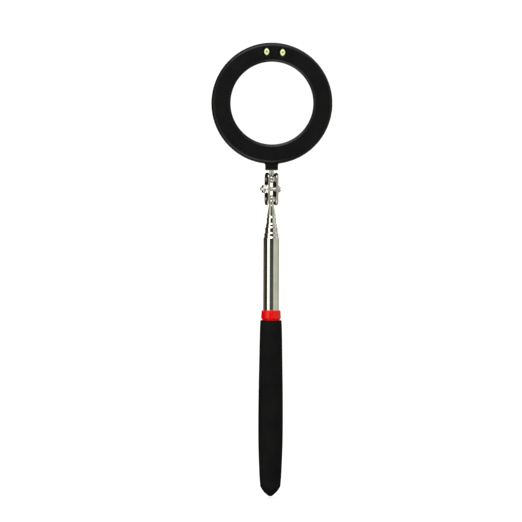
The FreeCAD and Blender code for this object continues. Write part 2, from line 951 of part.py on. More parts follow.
def circuit_board():
    """The ring-shaped board that carries both lights and the switch."""
    plate = ring(
        "XY_Plane", "board_inner_radius", "board_outer_radius", "board_front", BOARD_BACK
    )
    in_front = "board_front - overshoot"
    boss_hole_radius = "case_boss_radius + tray_hole_gap"
    boss_holes = posts(case_screw_places(), boss_hole_radius, in_front, "back_depth")
    return cut(plate, stud_notch(in_front, "back_depth"), *boss_holes)


def led():
    """A round light with a domed front and a flange, standing on the board."""
    front = "-front_depth + led_recess"
    corners = [
        ("0", "board_front"),
        ("led_flange_radius", "board_front"),
        ("led_flange_radius", "board_front - led_flange_thickness"),
        ("led_radius", "board_front - led_flange_thickness"),
        ("led_radius", front),
        ("0", front),
    ]
    return revolved("XY_Plane", corners, rounds=[(4, "led_dome_radius")])


def placed_on_head(label, body, x, z):
    """A revolved sub-part that stands away from the ring's centre."""
    body.Label = label
    moved(body, x=x, z=f"ring_height - grip_centre + {z}")
    sub_parts.append(body)


def coin_cell():
    corners = [
        ("0", CELL_FRONT),
        ("cell_radius - cell_bevel", CELL_FRONT),
        ("cell_radius", f"{CELL_FRONT} + cell_bevel"),
        ("cell_radius", CELL_BACK),
        ("0", CELL_BACK),
    ]
    return revolved("XY_Plane", corners)


def cell_contact(side):
    """A flat spring strip from under a cell out to the board."""
    ends = sorted(side * end for end in CONTACT_ENDS)
    return group(
        block(
            (f"{ends[0]} * cell_side", f"{ends[1]} * cell_side"),
            (TRAY_BACK, CELL_FRONT),
            ("cell_rise - contact_half_width", "cell_rise + contact_half_width"),
        )
    )


def cell_bridge():
    """The sprung strip on the door's inside that links the two cells."""
    low = "cell_rise + contact_half_width + bridge_gap"
    high = f"{low} + bridge_width"
    strip = block(
        ("-cell_side", "cell_side"),
        (f"{DOOR_FRONT} - contact_thickness", DOOR_FRONT),
        (low, high),
    )
    feet = []
    for side in (1, -1):
        ends = sorted(side * end for end in BRIDGE_FOOT_ENDS)
        feet.append(
            block(
                (f"{ends[0]} * cell_side", f"{ends[1]} * cell_side"),
                (f"{CELL_BACK} + bridge_foot_gap", DOOR_FRONT),
                (low, high),
            )
        )
    return joined(strip, *feet)


def battery_door():
    """A flush lid over both cells, held by one screw in its middle."""
    plate = door_outline("0", DOOR_FRONT, "back_depth")
    head_bore = posts(
        [("0", "cell_rise")],
        "small_screw_head_radius + small_screw_bore_gap",
        "back_depth - small_screw_head_height - small_screw_seat_gap",
        "back_depth + overshoot",
    )
    shank_bore = posts([("0", "cell_rise")], "small_screw_radius", "0", "back_depth")
    return cut(plate, *head_bore, *shank_bore)


def small_screw(places, sink, length):
    """Flat-headed screws with a cross recess, sunk below the rear face."""
    top = f"back_depth - {sink} + small_screw_head_height"
    screws = []
    for x, z in places:
        head_low = f"{top} - small_screw_head_height"
        head = posts([(x, z)], "small_screw_head_radius", head_low, top)
        shank_low = f"{head_low} - ({length})"
        shank = posts([(x, z)], "small_screw_radius", shank_low, head_low)
        recess_y = (f"{top} - cross_depth", f"{top} + overshoot")
        cross = [
            block(
                (f"{x} - {wide}", f"{x} + {wide}"),
                recess_y,
                (f"{z} - {tall}", f"{z} + {tall}"),
            )
            for wide, tall in (
                ("cross_half_length", "cross_half_width"),
                ("cross_half_width", "cross_half_length"),
            )
        ]
        screws.append(cut(joined(*head, *shank), *cross))
    return group(*screws)


def switch_body():
    """The slide switch soldered behind the board."""
    box = block(
        ("switch_travel / 2 - switch_half_length", "switch_travel / 2 + switch_half_length"),
        (BOARD_BACK, "back_depth - housing_floor - switch_gap"),
        ("-switch_drop - switch_half_width", "-switch_drop + switch_half_width"),
    )
    end = "knob_stem_half_length + knob_stem_end_room"
    side = "knob_stem_half_width + knob_stem_side_room"
    groove = block(
        (f"-({end})", f"switch_travel + {end}"),
        (f"{BOARD_BACK} + switch_groove_floor", "back_depth"),
        (f"-switch_drop - ({side})", f"-switch_drop + {side}"),
    )
    return cut(box, groove)


def switch_knob():
    """A ridged button in a finger recess, on a stem that reaches into the switch."""
    top = "back_depth - knob_sink"
    button_low = "back_depth - knob_recess_depth + knob_floor_gap"
    button = block(
        ("-knob_half_length", "knob_half_length"),
        (button_low, top),
        ("-switch_drop - knob_half_width", "-switch_drop + knob_half_width"),
    )
    stem = block(
        ("-knob_stem_half_length", "knob_stem_half_length"),
        (f"{BOARD_BACK} + knob_stem_floor", top),
        ("-switch_drop - knob_stem_half_width", "-switch_drop + knob_stem_half_width"),
    )
    grooves = []
    reach = "knob_half_width + overshoot"
    for place in GROOVE_PLACES:
        middle = f"{place} * knob_groove"
        grooves.append(
            block(
                (f"{middle} - knob_groove / 2", f"{middle} + knob_groove / 2"),
                (f"{top} - knob_groove", "back_depth + overshoot"),
                (f"-switch_drop - ({reach})", f"-switch_drop + {reach}"),
            )
        )
    return cut(joined(button, stem), *grooves)


on_head("front_bezel", front_bezel())
on_head("rear_housing", rear_housing())
on_head("mirror_glass", mirror_glass())
on_head("mirror_pad", mirror_pad())
on_head("inner_tray", inner_tray())
on_head("circuit_board", circuit_board())
for label, (x, z) in zip(("led_left", "led_right"), led_places()):
    placed_on_head(label, led(), x, z)
for side, word in ((-1, "left"), (1, "right")):
    placed_on_head(f"coin_cell_{word}", coin_cell(), f"{side} * cell_side", "cell_rise")
    on_head(f"cell_contact_{word}", cell_contact(side))
on_head("cell_bridge", cell_bridge())
on_head("battery_door", battery_door())
door_screw = small_screw([("0", "cell_rise")], "small_screw_head_height", "door_screw_shank")
on_head("battery_door_screw", door_screw)
case_screws = small_screw(case_screw_places(), "case_screw_sink", "case_screw_shank")
on_head("housing_screws", case_screws)
on_head("switch_body", switch_body())
on_head("switch_knob", switch_knob())


# ---------------------------------------------------------------- check and write

doc.recompute()
for thing in doc.Objects:
    if {"Invalid", "Error"} & set(thing.State):
        raise RuntimeError(f"{thing.Name} ({thing.Label}) failed: {thing.State}")
for thing in sub_parts:
    if thing.Shape.isNull() or not thing.Shape.isValid():
        raise RuntimeError(f"{thing.Label} has no sound shape")
    thing.Shape.exportStep(f"parts/{thing.Label}.step")
    print(thing.Label, len(thing.Shape.Solids), round(thing.Shape.Volume, 2))
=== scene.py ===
import json
import math

import bmesh
import bpy
from mathutils import Matrix, Vector
from mathutils.geometry import delaunay_2d_cdt


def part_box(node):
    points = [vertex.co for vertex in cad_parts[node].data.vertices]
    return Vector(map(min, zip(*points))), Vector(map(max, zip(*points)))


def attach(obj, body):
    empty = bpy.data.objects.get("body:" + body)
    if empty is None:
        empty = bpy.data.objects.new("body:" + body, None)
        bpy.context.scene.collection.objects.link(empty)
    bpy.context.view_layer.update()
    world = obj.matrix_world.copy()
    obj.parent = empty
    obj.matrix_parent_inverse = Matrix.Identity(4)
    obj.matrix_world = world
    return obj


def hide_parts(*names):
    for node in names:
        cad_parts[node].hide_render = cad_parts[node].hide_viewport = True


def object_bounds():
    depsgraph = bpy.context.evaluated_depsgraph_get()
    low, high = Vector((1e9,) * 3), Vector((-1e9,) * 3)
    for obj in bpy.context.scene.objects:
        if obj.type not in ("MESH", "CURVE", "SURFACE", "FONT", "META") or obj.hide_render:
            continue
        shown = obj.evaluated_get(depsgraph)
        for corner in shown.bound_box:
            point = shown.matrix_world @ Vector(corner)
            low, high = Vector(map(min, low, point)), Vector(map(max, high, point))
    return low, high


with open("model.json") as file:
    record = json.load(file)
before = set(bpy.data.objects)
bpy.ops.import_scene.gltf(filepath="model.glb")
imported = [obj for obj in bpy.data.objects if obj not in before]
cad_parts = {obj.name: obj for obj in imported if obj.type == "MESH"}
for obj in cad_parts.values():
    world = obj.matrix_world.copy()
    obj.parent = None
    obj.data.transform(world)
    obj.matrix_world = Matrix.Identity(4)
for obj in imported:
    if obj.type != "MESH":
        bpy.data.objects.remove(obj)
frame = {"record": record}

MM = 0.001
CAD_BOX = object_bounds()
STEPS = 128  # points round a turned piece


# ------ outlines and meshes


def spread(node):
    """A node's box as lowest corner, highest corner and centre."""
    low, high = (Vector(corner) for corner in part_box(node))
    return low, high, (low + high) / 2


def around(count):
    """The turns of a full circle in even steps."""
    return [2 * math.pi * step / count for step in range(count)]


def rounded(points, closed=False, segments=6):
    """A polyline of (across, along, radius) with each corner turned into an arc."""
    smooth = []
    count = len(points)
    for index, (across, along, *radius) in enumerate(points):
        here = Vector((across, along))
        is_end = not closed and index in (0, count - 1)
        if is_end or not radius:
            smooth.append(here)
            continue
        before = Vector(points[index - 1][:2]) - here
        after = Vector(points[(index + 1) % count][:2]) - here
        opening = before.angle(after)
        reach = radius[0] / math.tan(opening / 2)
        for side, neighbour in ((before, index - 1), (after, (index + 1) % count)):
            # two arcs on one side share its length between them
            shared = len(points[neighbour]) > 2
            reach = min(reach, (0.49 if shared else 0.98) * side.length)
        inward = (before.normalized() + after.normalized()).normalized()
        middle = here + inward * (reach * math.tan(opening / 2) / math.sin(opening / 2))
        start = here + before.normalized() * reach - middle
        hand = math.copysign(1, start.x * after.y - start.y * after.x)
        for step in range(segments + 1):
            turn = hand * (math.pi - opening) * step / segments
            cos, sin = math.cos(turn), math.sin(turn)
            spun = Vector((start.x * cos - start.y * sin, start.x * sin + start.y * cos))
            smooth.append(middle + spun)
    return smooth


def through(points, per_span=8):
    """A smooth curve through the given points (Catmull-Rom), as a denser polyline."""
    points = [Vector(point) for point in points]
    ends = [points[0], *points, points[-1]]
    line = []
    for p0, p1, p2, p3 in zip(ends, ends[1:], ends[2:], ends[3:]):
        for step in range(per_span):
            u = step / per_span
            square = (2 * p0 - 5 * p1 + 4 * p2 - p3) * u**2
            cube = (3 * p1 - p0 - 3 * p2 + p3) * u**3
            line.append(0.5 * (2 * p1 + (p2 - p0) * u + square + cube))
    return [*line, points[-1]]


def circle(centre_x, centre_z, radius, count=48):
    """A round outline as a function of how far it is grown."""

    def outline(grow=0.0):
        size = radius + grow
        return [(centre_x + size * math.cos(t), centre_z + size * math.sin(t)) for t in around(count)]

    return outline


def round_box(centre_x, centre_z, half_x, half_z, corner, per_corner=8):
    """A round-cornered outline as a function of how far it is grown."""

    def outline(grow=0.0):
        points = []
        size = max(corner + grow, 0.01 * MM)
        for quarter, (right, up) in enumerate(((1, 1), (-1, 1), (-1, -1), (1, -1))):
            for step in range(per_corner + 1):
                turn = math.pi / 2 * (quarter + step / per_corner)
                x = centre_x + right * (half_x - corner) + size * math.cos(turn)
                z = centre_z + up * (half_z - corner) + size * math.sin(turn)
                points.append((x, z))
        return points

    return outline


def in_scene(name, data):
    """A new object, linked into the scene."""
    made = bpy.data.objects.new(name, data)
    bpy.context.scene.collection.objects.link(made)
    return made


class Builder:
    """Collects loops of points and the faces between them, then makes one object."""

    def __init__(self):
        self.points = []
        self.faces = []

    def loop(self, points):
        start = len(self.points)
        self.points += [Vector(point) for point in points]
        return list(range(start, len(self.points)))

    def pole(self, point, count):
        """One point that stands for a whole ring."""
        return self.loop([point]) * count

    def bridge(self, first, second, closed=True):
        """Faces between two loops: a pole gives triangles."""
        count = len(first)
        for index in range(count if closed else count - 1):
            after = (index + 1) % count
            corners = dict.fromkeys((first[index], first[after], second[after], second[index]))
            if len(corners) > 2:
                self.faces.append(tuple(corners))

    def stack(self, loops):
        for first, second in zip(loops, loops[1:]):
            self.bridge(first, second)

    def walls(self, outline, levels, place_at):
        """An outline grown and placed at each (grow, level), with walls between."""
        loops = []
        for grow, level in levels:
            place = place_at(level)
            loops.append(self.loop([place(*point) for point in outline(grow)]))
        self.stack(loops)
        return loops

    def cap(self, loop):
        self.faces.append(tuple(loop))

    def fill(self, outer, holes, place, inner_points=()):
        """Triangles over a flat outline with holes, each 2-D point put in 3-D by place."""
        points, areas = [], []
        for outline in [outer, *holes]:
            areas.append(list(range(len(points), len(points) + len(outline))))
            points += [Vector(point) for point in outline]
        points += [Vector(point) for point in inner_points]
        flat, _, triangles, *_ = delaunay_2d_cdt(points, [], areas, 2, 1e-8)
        start = len(self.points)
        self.points += [Vector(place(*point)) for point in flat]
        self.faces += [tuple(start + corner for corner in face) for face in triangles]

    def build(self, name, sharp=38):
        mesh = bpy.data.meshes.new(name)
        mesh.from_pydata(self.points, [], self.faces)
        piece = in_scene(name, mesh)
        tidy_mesh(piece, sharp)
        return piece


def tidy_mesh(piece, sharp=38):
    """Weld, face outwards, and shade smooth except across sharp edges."""
    work = bmesh.new()
    work.from_mesh(piece.data)
    bmesh.ops.remove_doubles(work, verts=work.verts, dist=1e-6)
    bmesh.ops.dissolve_degenerate(work, dist=1e-7, edges=work.edges)
    bmesh.ops.recalc_face_normals(work, faces=work.faces)
    work.to_mesh(piece.data)
    work.free()
    for face in piece.data.polygons:
        face.use_smooth = True
    piece.data.set_sharp_from_angle(angle=math.radians(sharp))
    even = piece.modifiers.new("even", "WEIGHTED_NORMAL")
    even.keep_sharp = True
    settle(piece)


def settle(piece):
    """Make a piece's modifiers part of its mesh."""
    settled = bpy.context.evaluated_depsgraph_get()
    mesh = bpy.data.meshes.new_from_object(piece.evaluated_get(settled))
    piece.modifiers.clear()
    piece.data = mesh


def lathe_into(builder, profile, axis="z", centre=(0, 0, 0), closed=False, steps=STEPS):
    """Turn a profile of (radius, along) about an axis through centre."""
    centre = Vector(centre)
    loops = []
    for radius, along in profile:
        if radius < 1e-7:
            loops.append(builder.pole(on_axis(axis, centre, 0, 0, along), steps))
        else:
            turned = [on_axis(axis, centre, radius, turn, along) for turn in around(steps)]
            loops.append(builder.loop(turned))
    if closed:
        loops.append(loops[0])
    builder.stack(loops)


def on_axis(axis, centre, radius, turn, along):
    """A point at a radius and turn about the z or y axis through centre."""
    across, up = radius * math.cos(turn), radius * math.sin(turn)
    if axis == "z":
        return centre + Vector((across, up, along))
    return centre + Vector((across, along, up))


def lathe(name, profile, axis="z", centre=(0, 0, 0), closed=False, steps=STEPS, sharp=38):
    builder = Builder()
    lathe_into(builder, profile, axis, centre, closed, steps)
    return builder.build(name, sharp)


def carved(piece, cutters):
    """Cut solids out of a piece for good."""
    for cutter in cutters:
        carve = piece.modifiers.new("carve", "BOOLEAN")
        carve.object = cutter
        carve.solver = "EXACT"
    settle(piece)
    for cutter in cutters:
        bpy.data.objects.remove(cutter)
    tidy_mesh(piece)
    return piece


def bar(low, high, place=lambda *point: point):
    """A plain box, only ever used as a cutter."""
    builder = Builder()
    corners = [(low[0], low[1]), (high[0], low[1]), (high[0], high[1]), (low[0], high[1])]
    ends = [builder.loop([place(x, y, z) for x, y in corners]) for z in (low[2], high[2])]
    builder.stack(ends)
    for end in ends:
        builder.cap(end)
    return builder.build("cutter")


def place_piece(piece, body, finish, node):
    """Finish a piece, hang it on its body and let it stand for its node."""
    piece.data.materials.clear()
    piece.data.materials.append(finish)
    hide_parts(node)
    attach(piece, body)


# ------ materials


class Nodes:
    """Short calls for the nodes that the materials and the sky share."""

    def add(self, kind, inputs={}, **settings):
        """A new node, with what goes into its sockets and its settings."""
        node = self.tree.nodes.new(kind)
        for key, value in settings.items():
            setattr(node, key, value)
        for name, value in inputs.items():
            self.put(node.inputs[name], value)
        return node

    def put(self, socket, value):
        """Give a socket a colour, a number or another node's output."""
        if isinstance(value, tuple):
            socket.default_value = (*value, 1)
        elif isinstance(value, (int, float)):
            socket.default_value = value
        else:
            self.tree.links.new(value, socket)

    def math(self, kind, *values):
        node = self.add("ShaderNodeMath", operation=kind)
        for socket, value in zip(node.inputs, values):
            self.put(socket, value)
        return node.outputs[0]

    def ranged(self, source, low, high, from_low=0.35, from_high=0.65, **settings):
        """A value mapped from one span to another."""
        span = {"From Min": from_low, "From Max": from_high, "To Min": low, "To Max": high}
        node = self.add("ShaderNodeMapRange", {"Value": source, **span}, **settings)
        return node.outputs["Result"]

    def mixed(self, amount, first, second):
        """A colour between two, each a colour or another node's output."""
        node = self.add("ShaderNodeMix", {"Factor": amount}, data_type="RGBA")
        colours = [item for item in node.inputs if item.type == "RGBA"]
        self.put(colours[0], first)
        self.put(colours[1], second)
        return [item for item in node.outputs if item.type == "RGBA"][0]


class Finish(Nodes):
    """A procedural material: a principled surface with named detail added to it."""

    def __init__(self, name, roughness, metallic=0.0):
        self.material = bpy.data.materials.new(name)
        self.material.use_nodes = True
        self.tree = self.material.node_tree
        self.surface = self.tree.nodes["Principled BSDF"].inputs
        self.put(self.surface["Metallic"], metallic)
        self.put(self.surface["Roughness"], roughness)
        self.coordinates = self.add("ShaderNodeTexCoord").outputs["Object"]
        self.height = None

    def noise(self, scale, detail=4.0, roughness=0.55, stretch=(1, 1, 1), distortion=0.0):
        """Noise in object coordinates, stretched so that a pattern may run one way."""
        mapping = self.add("ShaderNodeMapping", {"Vector": self.coordinates})
        mapping.inputs["Scale"].default_value = stretch
        inputs = {"Scale": scale, "Detail": detail, "Roughness": roughness, "Distortion": distortion}
        node = self.add("ShaderNodeTexNoise", {"Vector": mapping.outputs["Vector"], **inputs})
        return node.outputs["Fac"]

    def patches(self, *noise, **settings):
        """Soft-edged patches of noise, from 0 to 1."""
        return self.ranged(self.noise(*noise, **settings), 0.0, 1.0)

    def cells(self, scale):
        node = self.add("ShaderNodeTexVoronoi", {"Scale": scale, "Vector": self.coordinates})
        return node.outputs["Distance"]

    def length(self, across, up):
        squares = [self.math("MULTIPLY", part, part) for part in (across, up)]
        return self.math("POWER", self.math("ADD", *squares), 0.5)

    def colour(self, value):
        self.put(self.surface["Base Color"], value)

    def rough(self, low, high, *noise, **settings):
        """Roughness that wanders between two values."""
        self.put(self.surface["Roughness"], self.ranged(self.noise(*noise, **settings), low, high))

    def specular(self, level):
        self.put(self.surface["Specular IOR Level"], level)

    def bump(self, source, distance, strength=1.0):
        """Stack one more height onto the surface."""
        inputs = {"Distance": distance, "Strength": strength, "Height": source}
        node = self.add("ShaderNodeBump", inputs)
        if self.height is not None:
            self.put(node.inputs["Normal"], self.height)
        self.height = node.outputs["Normal"]
        self.put(self.surface["Normal"], self.height)

    def worn_edges(self):
        """Bright where the surface is convex."""
        node = self.add("ShaderNodeNewGeometry")
        return self.ranged(node.outputs["Pointiness"], 0.0, 1.0, 0.53, 0.62)


def grip_rubber():
    """Closed foam rubber: fine pores, a matte bloom, and a painted sheen on the raised grain points."""
    finish = Finish("grip_rubber", 0.8)
    mottle = finish.patches(90, 5)
    base = finish.mixed(mottle, (0.0064, 0.0064, 0.0068), (0.0102, 0.0100, 0.0103))
    grain = finish.noise(2600, 3, 0.6)
    pores = finish.ranged(finish.cells(2100), 0.0, 1.0, 0.0, 0.55)
    # painted sheen: the grain's raised points, which the bump also lifts, are coloured lighter
    finish.colour(finish.mixed(finish.ranged(grain, 0.0, 0.55, 0.5, 0.8), base, (0.022, 0.022, 0.023)))
    finish.rough(0.66, 0.9, 160, 4)
    finish.bump(finish.noise(120, 2), 0.25 * MM, 0.35)
    finish.bump(grain, 0.08 * MM, 0.55)
    finish.bump(pores, 0.05 * MM, 0.35)
    finish.specular(0.03)
    return finish.material


def red_plastic():
    """Glossy red moulding with faint flow marks and rubbed edges."""
    finish = Finish("red_plastic", 0.2)
    flow = finish.patches(240, 3, stretch=(1, 1, 0.3))
    base = finish.mixed(flow, (0.86, 0.0028, 0.0034), (0.95, 0.0038, 0.0045))
    finish.colour(finish.mixed(finish.worn_edges(), base, (0.96, 0.012, 0.012)))
    finish.rough(0.08, 0.16, 500, 4)
    finish.bump(finish.noise(900, 2), 0.02 * MM, 0.25)
    finish.specular(0.42)
    return finish.material


def black_plastic(name="black_plastic", shine=0.27):
    """Satin black moulding: fine spark-eroded grain, faint handling marks, worn edges."""
    finish = Finish(name, shine)
    haze = finish.patches(60, 5)
    base = finish.mixed(haze, (0.0046, 0.0046, 0.0050), (0.0070, 0.0070, 0.0074))
    finish.colour(finish.mixed(finish.worn_edges(), base, (0.014, 0.014, 0.015)))
    finish.rough(shine - 0.03, shine + 0.07, 140, 5, distortion=0.4)
    finish.bump(finish.noise(3000, 2, 0.7), 0.02 * MM, 0.35)
    finish.bump(finish.noise(40, 1), 0.15 * MM, 0.12)
    finish.specular(0.28)
    return finish.material


def plated(name, tint, roughness, along=(1, 1, 1), smudge=0.05):
    """Bright plating: a tinted metal with drawn lines, smudges and fine pits."""
    finish = Finish(name, roughness, 1.0)
    cloud = finish.patches(110, 5)
    base = finish.mixed(cloud, tint, tuple(0.86 * part for part in tint))
    pits = finish.ranged(finish.noise(2400, 2), 0.0, 0.5, 0.66, 0.8)
    finish.colour(finish.mixed(pits, base, (0.3, 0.28, 0.25)))
    lines = finish.noise(1500, 3, 0.6, stretch=along)
    finish.rough(roughness, roughness + smudge, 180, 5, distortion=0.6)
    finish.bump(lines, 0.004 * MM, 0.35)
    return finish.material


def mirror_silver():
    """Second-surface silvering with barely visible dust and faint haze."""
    finish = Finish("mirror_glass", 0.012, 1.0)
    dust = finish.ranged(finish.noise(2200, 2), 0.0, 0.12, 0.68, 0.8)
    haze = finish.patches(35, 4)
    base = finish.mixed(haze, (0.955, 0.965, 0.96), (0.935, 0.945, 0.945))
    finish.colour(finish.mixed(dust, base, (0.7, 0.7, 0.69)))
    finish.rough(0.01, 0.03, 60, 5)
    finish.bump(finish.noise(14, 1), 0.01 * MM, 0.02)
    return finish.material


def plain_detail(name, low, high, roughness, metallic=0.0, scale=300, depth=0.02):
    """A quieter finish for inner pieces: two close colours, grain and uneven gloss."""
    finish = Finish(name, roughness, metallic)
    finish.colour(finish.mixed(finish.patches(scale, 4), low, high))
    finish.rough(roughness - 0.06, roughness + 0.1, scale * 1.7, 3)
    finish.bump(finish.noise(scale * 5, 2), depth * MM, 0.3)
    return finish.material


def board_green():
    """Solder mask with copper tracks showing faintly under it."""
    finish = Finish("board_green", 0.35)
    inputs = {"Scale": 160, "Distortion": 1.5, "Vector": finish.coordinates}
    wave = finish.add("ShaderNodeTexWave", inputs, wave_type="RINGS", rings_direction="Y")
    tracks = finish.ranged(wave.outputs["Fac"], 0.0, 1.0, 0.55, 0.65)
    finish.colour(finish.mixed(tracks, (0.006, 0.06, 0.02), (0.015, 0.13, 0.04)))
    finish.rough(0.28, 0.45, 400, 3)
    finish.bump(tracks, 0.03 * MM, 0.4)
    return finish.material


def led_lens(name, centre):
    """A clear-lensed light with a painted highlight: a pale pointed oval, painted in and given emission,
    with a yellow-green chip at its middle.
    """
    finish = Finish(name, 0.08)
    shift = finish.add("ShaderNodeMapping", {"Vector": finish.coordinates}, vector_type="TEXTURE")
    shift.inputs["Location"].default_value = centre
    split = finish.add("ShaderNodeSeparateXYZ", {"Vector": shift.outputs["Vector"]})
    across, up = split.outputs["X"], split.outputs["Z"]
    # the oval of painted highlight is where two large circles, one from each side, overlap
    half_width, half_height = 1.55 * MM, 2.25 * MM
    reach = (half_height**2 - half_width**2) / (2 * half_width)
    sides = []
    for side in (1, -1):
        sides.append(finish.length(finish.math("ADD", across, side * reach), up))
    outside = finish.math("MAXIMUM", *sides)
    rim = reach + half_width
    oval = finish.ranged(outside, 1.0, 0.0, rim - 0.25 * MM, rim + 0.1 * MM)
    chip = finish.ranged(finish.length(across, up), 1.0, 0.0, 0.55 * MM, 1.0 * MM)
    painted_glow = finish.mixed(chip, (0.86, 0.92, 0.46), (0.34, 0.42, 0.12))
    cloud = finish.ranged(finish.noise(900, 3), 0.15, 0.3)
    dark_body = (0.012, 0.014, 0.01)
    finish.colour(finish.mixed(oval, dark_body, finish.mixed(cloud, dark_body, painted_glow)))
    # painted light: the oval's painted highlight and its chip emit light, though nothing here is a lamp
    finish.put(finish.surface["Emission Color"], finish.mixed(oval, (0.0, 0.0, 0.0), painted_glow))
    finish.put(finish.surface["Emission Strength"], 0.8)
    finish.put(finish.surface["Coat Weight"], 0.5)
    finish.rough(0.05, 0.14, 600, 2)
    return finish.material


RUBBER = grip_rubber()
RED = red_plastic()
BLACK = black_plastic()
DOOR_BLACK = black_plastic("door_plastic", 0.42)
KNOB_BLACK = plain_detail("switch_plastic", (0.02, 0.02, 0.021), (0.035, 0.035, 0.036), 0.45)
TUBE_CHROME = plated("chrome_tube", (0.93, 0.92, 0.88), 0.045, along=(1, 1, 0.02))
PLATED = plated("plated_steel", (0.9, 0.89, 0.84), 0.05)
PLATE_STEEL = plated("plated_plate", (0.88, 0.87, 0.82), 0.06, along=(0.05, 0.05, 1), smudge=0.06)
SILVER = mirror_silver()
FOAM = plain_detail("foam_pad", (0.06, 0.06, 0.06), (0.12, 0.12, 0.12), 0.85, scale=900)
TRAY_BLACK = plain_detail("tray_plastic", (0.012, 0.012, 0.013), (0.02, 0.02, 0.021), 0.5)
BOARD = board_green()
CELL = plain_detail("cell_steel", (0.6, 0.6, 0.59), (0.72, 0.72, 0.7), 0.28, 1.0, 700)
BRASS = plain_detail("spring_brass", (0.62, 0.42, 0.16), (0.75, 0.55, 0.25), 0.3, 1.0, 500)
DARK_SCREW = plain_detail("dark_screw", (0.05, 0.05, 0.052), (0.1, 0.1, 0.1), 0.35, 1.0, 800)


# ------ wand


BALL, SHANK = 2.45 * MM, 1.35 * MM  # radii of both ball studs
SOCKET, SOCKET_DEPTH = 5.7 * MM, 3 * MM  # where the collar's spigot sits in the grip


def grip():
    """The soft handle, its outline run smoothly from the rounded tip to the collar."""
    low, high, _ = spread("handle_grip")
    length = high.z - low.z
    belly = (high.x - low.x) / 2
    nose = [(0.0, 0.0), (1.0 * MM, 0.12 * MM), (2.2 * MM, 1.05 * MM), (3.5 * MM, 2.15 * MM)]
    heel = [(4.7 * MM, 3.5 * MM), (5.65 * MM, 5.0 * MM), (6.5 * MM, 7.4 * MM)]
    swell = [(0.925, 0.17), (0.995, 0.34), (0.99, 0.55), (0.945, 0.75), (0.9, 0.93)]
    side = [(share * belly, height * length) for share, height in swell]
    mouth = 6.75 * MM
    shoulder = (mouth, length - 0.9 * MM)
    corners = [
        shoulder,
        (mouth - 0.03 * MM, length, 0.45 * MM),
        (SOCKET, length, 0.15 * MM),
        (SOCKET, length - SOCKET_DEPTH),
        (0.0, length - SOCKET_DEPTH),
    ]
    top = rounded(corners)
    profile = through(nose + heel + side + [shoulder]) + top[1:]
    piece = lathe("handle_grip_sleeve", profile, centre=(0, 0, low.z), steps=160, sharp=60)
    place_piece(piece, "handle", RUBBER, "handle_grip")


def collar():
    """The red ring: a domed band on a spigot that sits in the grip."""
    low, high, _ = spread("grip_collar")
    tube = spread("outer_tube")[1].x
    wide = (high.x - low.x) / 2
    spigot_top = low.z + SOCKET_DEPTH
    corners = [
        (tube, low.z),
        (SOCKET, low.z),
        (SOCKET, spigot_top),
        (wide, spigot_top, 0.35 * MM),
        (wide - 0.1 * MM, spigot_top + 1.2 * MM, 1.0 * MM),
        (5.95 * MM, high.z, 1.15 * MM),
        (tube, high.z, 0.1 * MM),
    ]
    profile = rounded(corners, closed=True, segments=8)
    piece = lathe("grip_collar_ring", profile, closed=True)
    place_piece(piece, "handle", RED, "grip_collar")


def tubes():
    """The fixed tube and the five sections, each but the last rolled in at its mouth."""
    names = ["outer_tube"] + [f"tube_section_{number}" for number in range(1, 6)]
    boxes = [spread(name) for name in names]
    wall, rim = 0.3 * MM, 1.2 * MM
    for number, (name, (low, high, _)) in enumerate(zip(names, boxes)):
        outer = high.x
        bore = outer - wall
        if number < 5:
            guide = boxes[number + 1][1].x + 0.03 * MM
            mouth = [
                (outer, high.z - 0.95 * MM, 0.25 * MM),
                (guide + 0.1 * MM, high.z, 0.12 * MM),
                (guide, high.z, 0.02 * MM),
                (guide, high.z - rim, 0.1 * MM),
                (bore, high.z - rim),
            ]
        else:
            mouth = [(outer, high.z, 0.05 * MM), (bore, high.z)]
        profile = rounded([(bore, low.z), (outer, low.z, 0.05 * MM)] + mouth, closed=True)
        piece = lathe(f"{name}_drawn", profile, closed=True, sharp=45)
        body = "handle" if number == 0 else f"section_{number}"
        place_piece(piece, body, TUBE_CHROME, name)


def ferrule():
    """The cone on the last section, hollow for the lower stud's shank and foot."""
    low, high, _ = spread("tip_ferrule")
    wide = high.x
    shoulder = spread("tube_section_5")[1].z
    bore, chamber, spigot = 1.38 * MM, 1.75 * MM, 2.12 * MM
    corners = [
        (chamber, low.z),
        (spigot, low.z),
        (spigot, shoulder),
        (wide, shoulder, 0.15 * MM),
        (wide, shoulder + 0.9 * MM, 0.8 * MM),
        (1.65 * MM, high.z, 0.12 * MM),
        (bore, high.z),
        (bore, shoulder + 2 * MM),
        (chamber, shoulder + 2 * MM),
    ]
    profile = rounded(corners, closed=True)
    piece = lathe("tip_ferrule_cone", profile, closed=True)
    place_piece(piece, "section_5", TUBE_CHROME, "tip_ferrule")


def stud(node, body, ball_z, side, rest):
    """A ball and its shank in one turned piece; side is 1 where the shank goes up."""
    meet = math.asin(SHANK / BALL)
    steps = 28
    ball = []
    for step in range(steps + 1):
        turn = (math.pi - meet) * step / steps
        ball.append((BALL * math.sin(turn), ball_z - side * BALL * math.cos(turn)))
    piece = lathe(f"{node}_turned", ball[:-1] + rounded([ball[-1], *rest]), steps=96)
    place_piece(piece, body, PLATED, node)


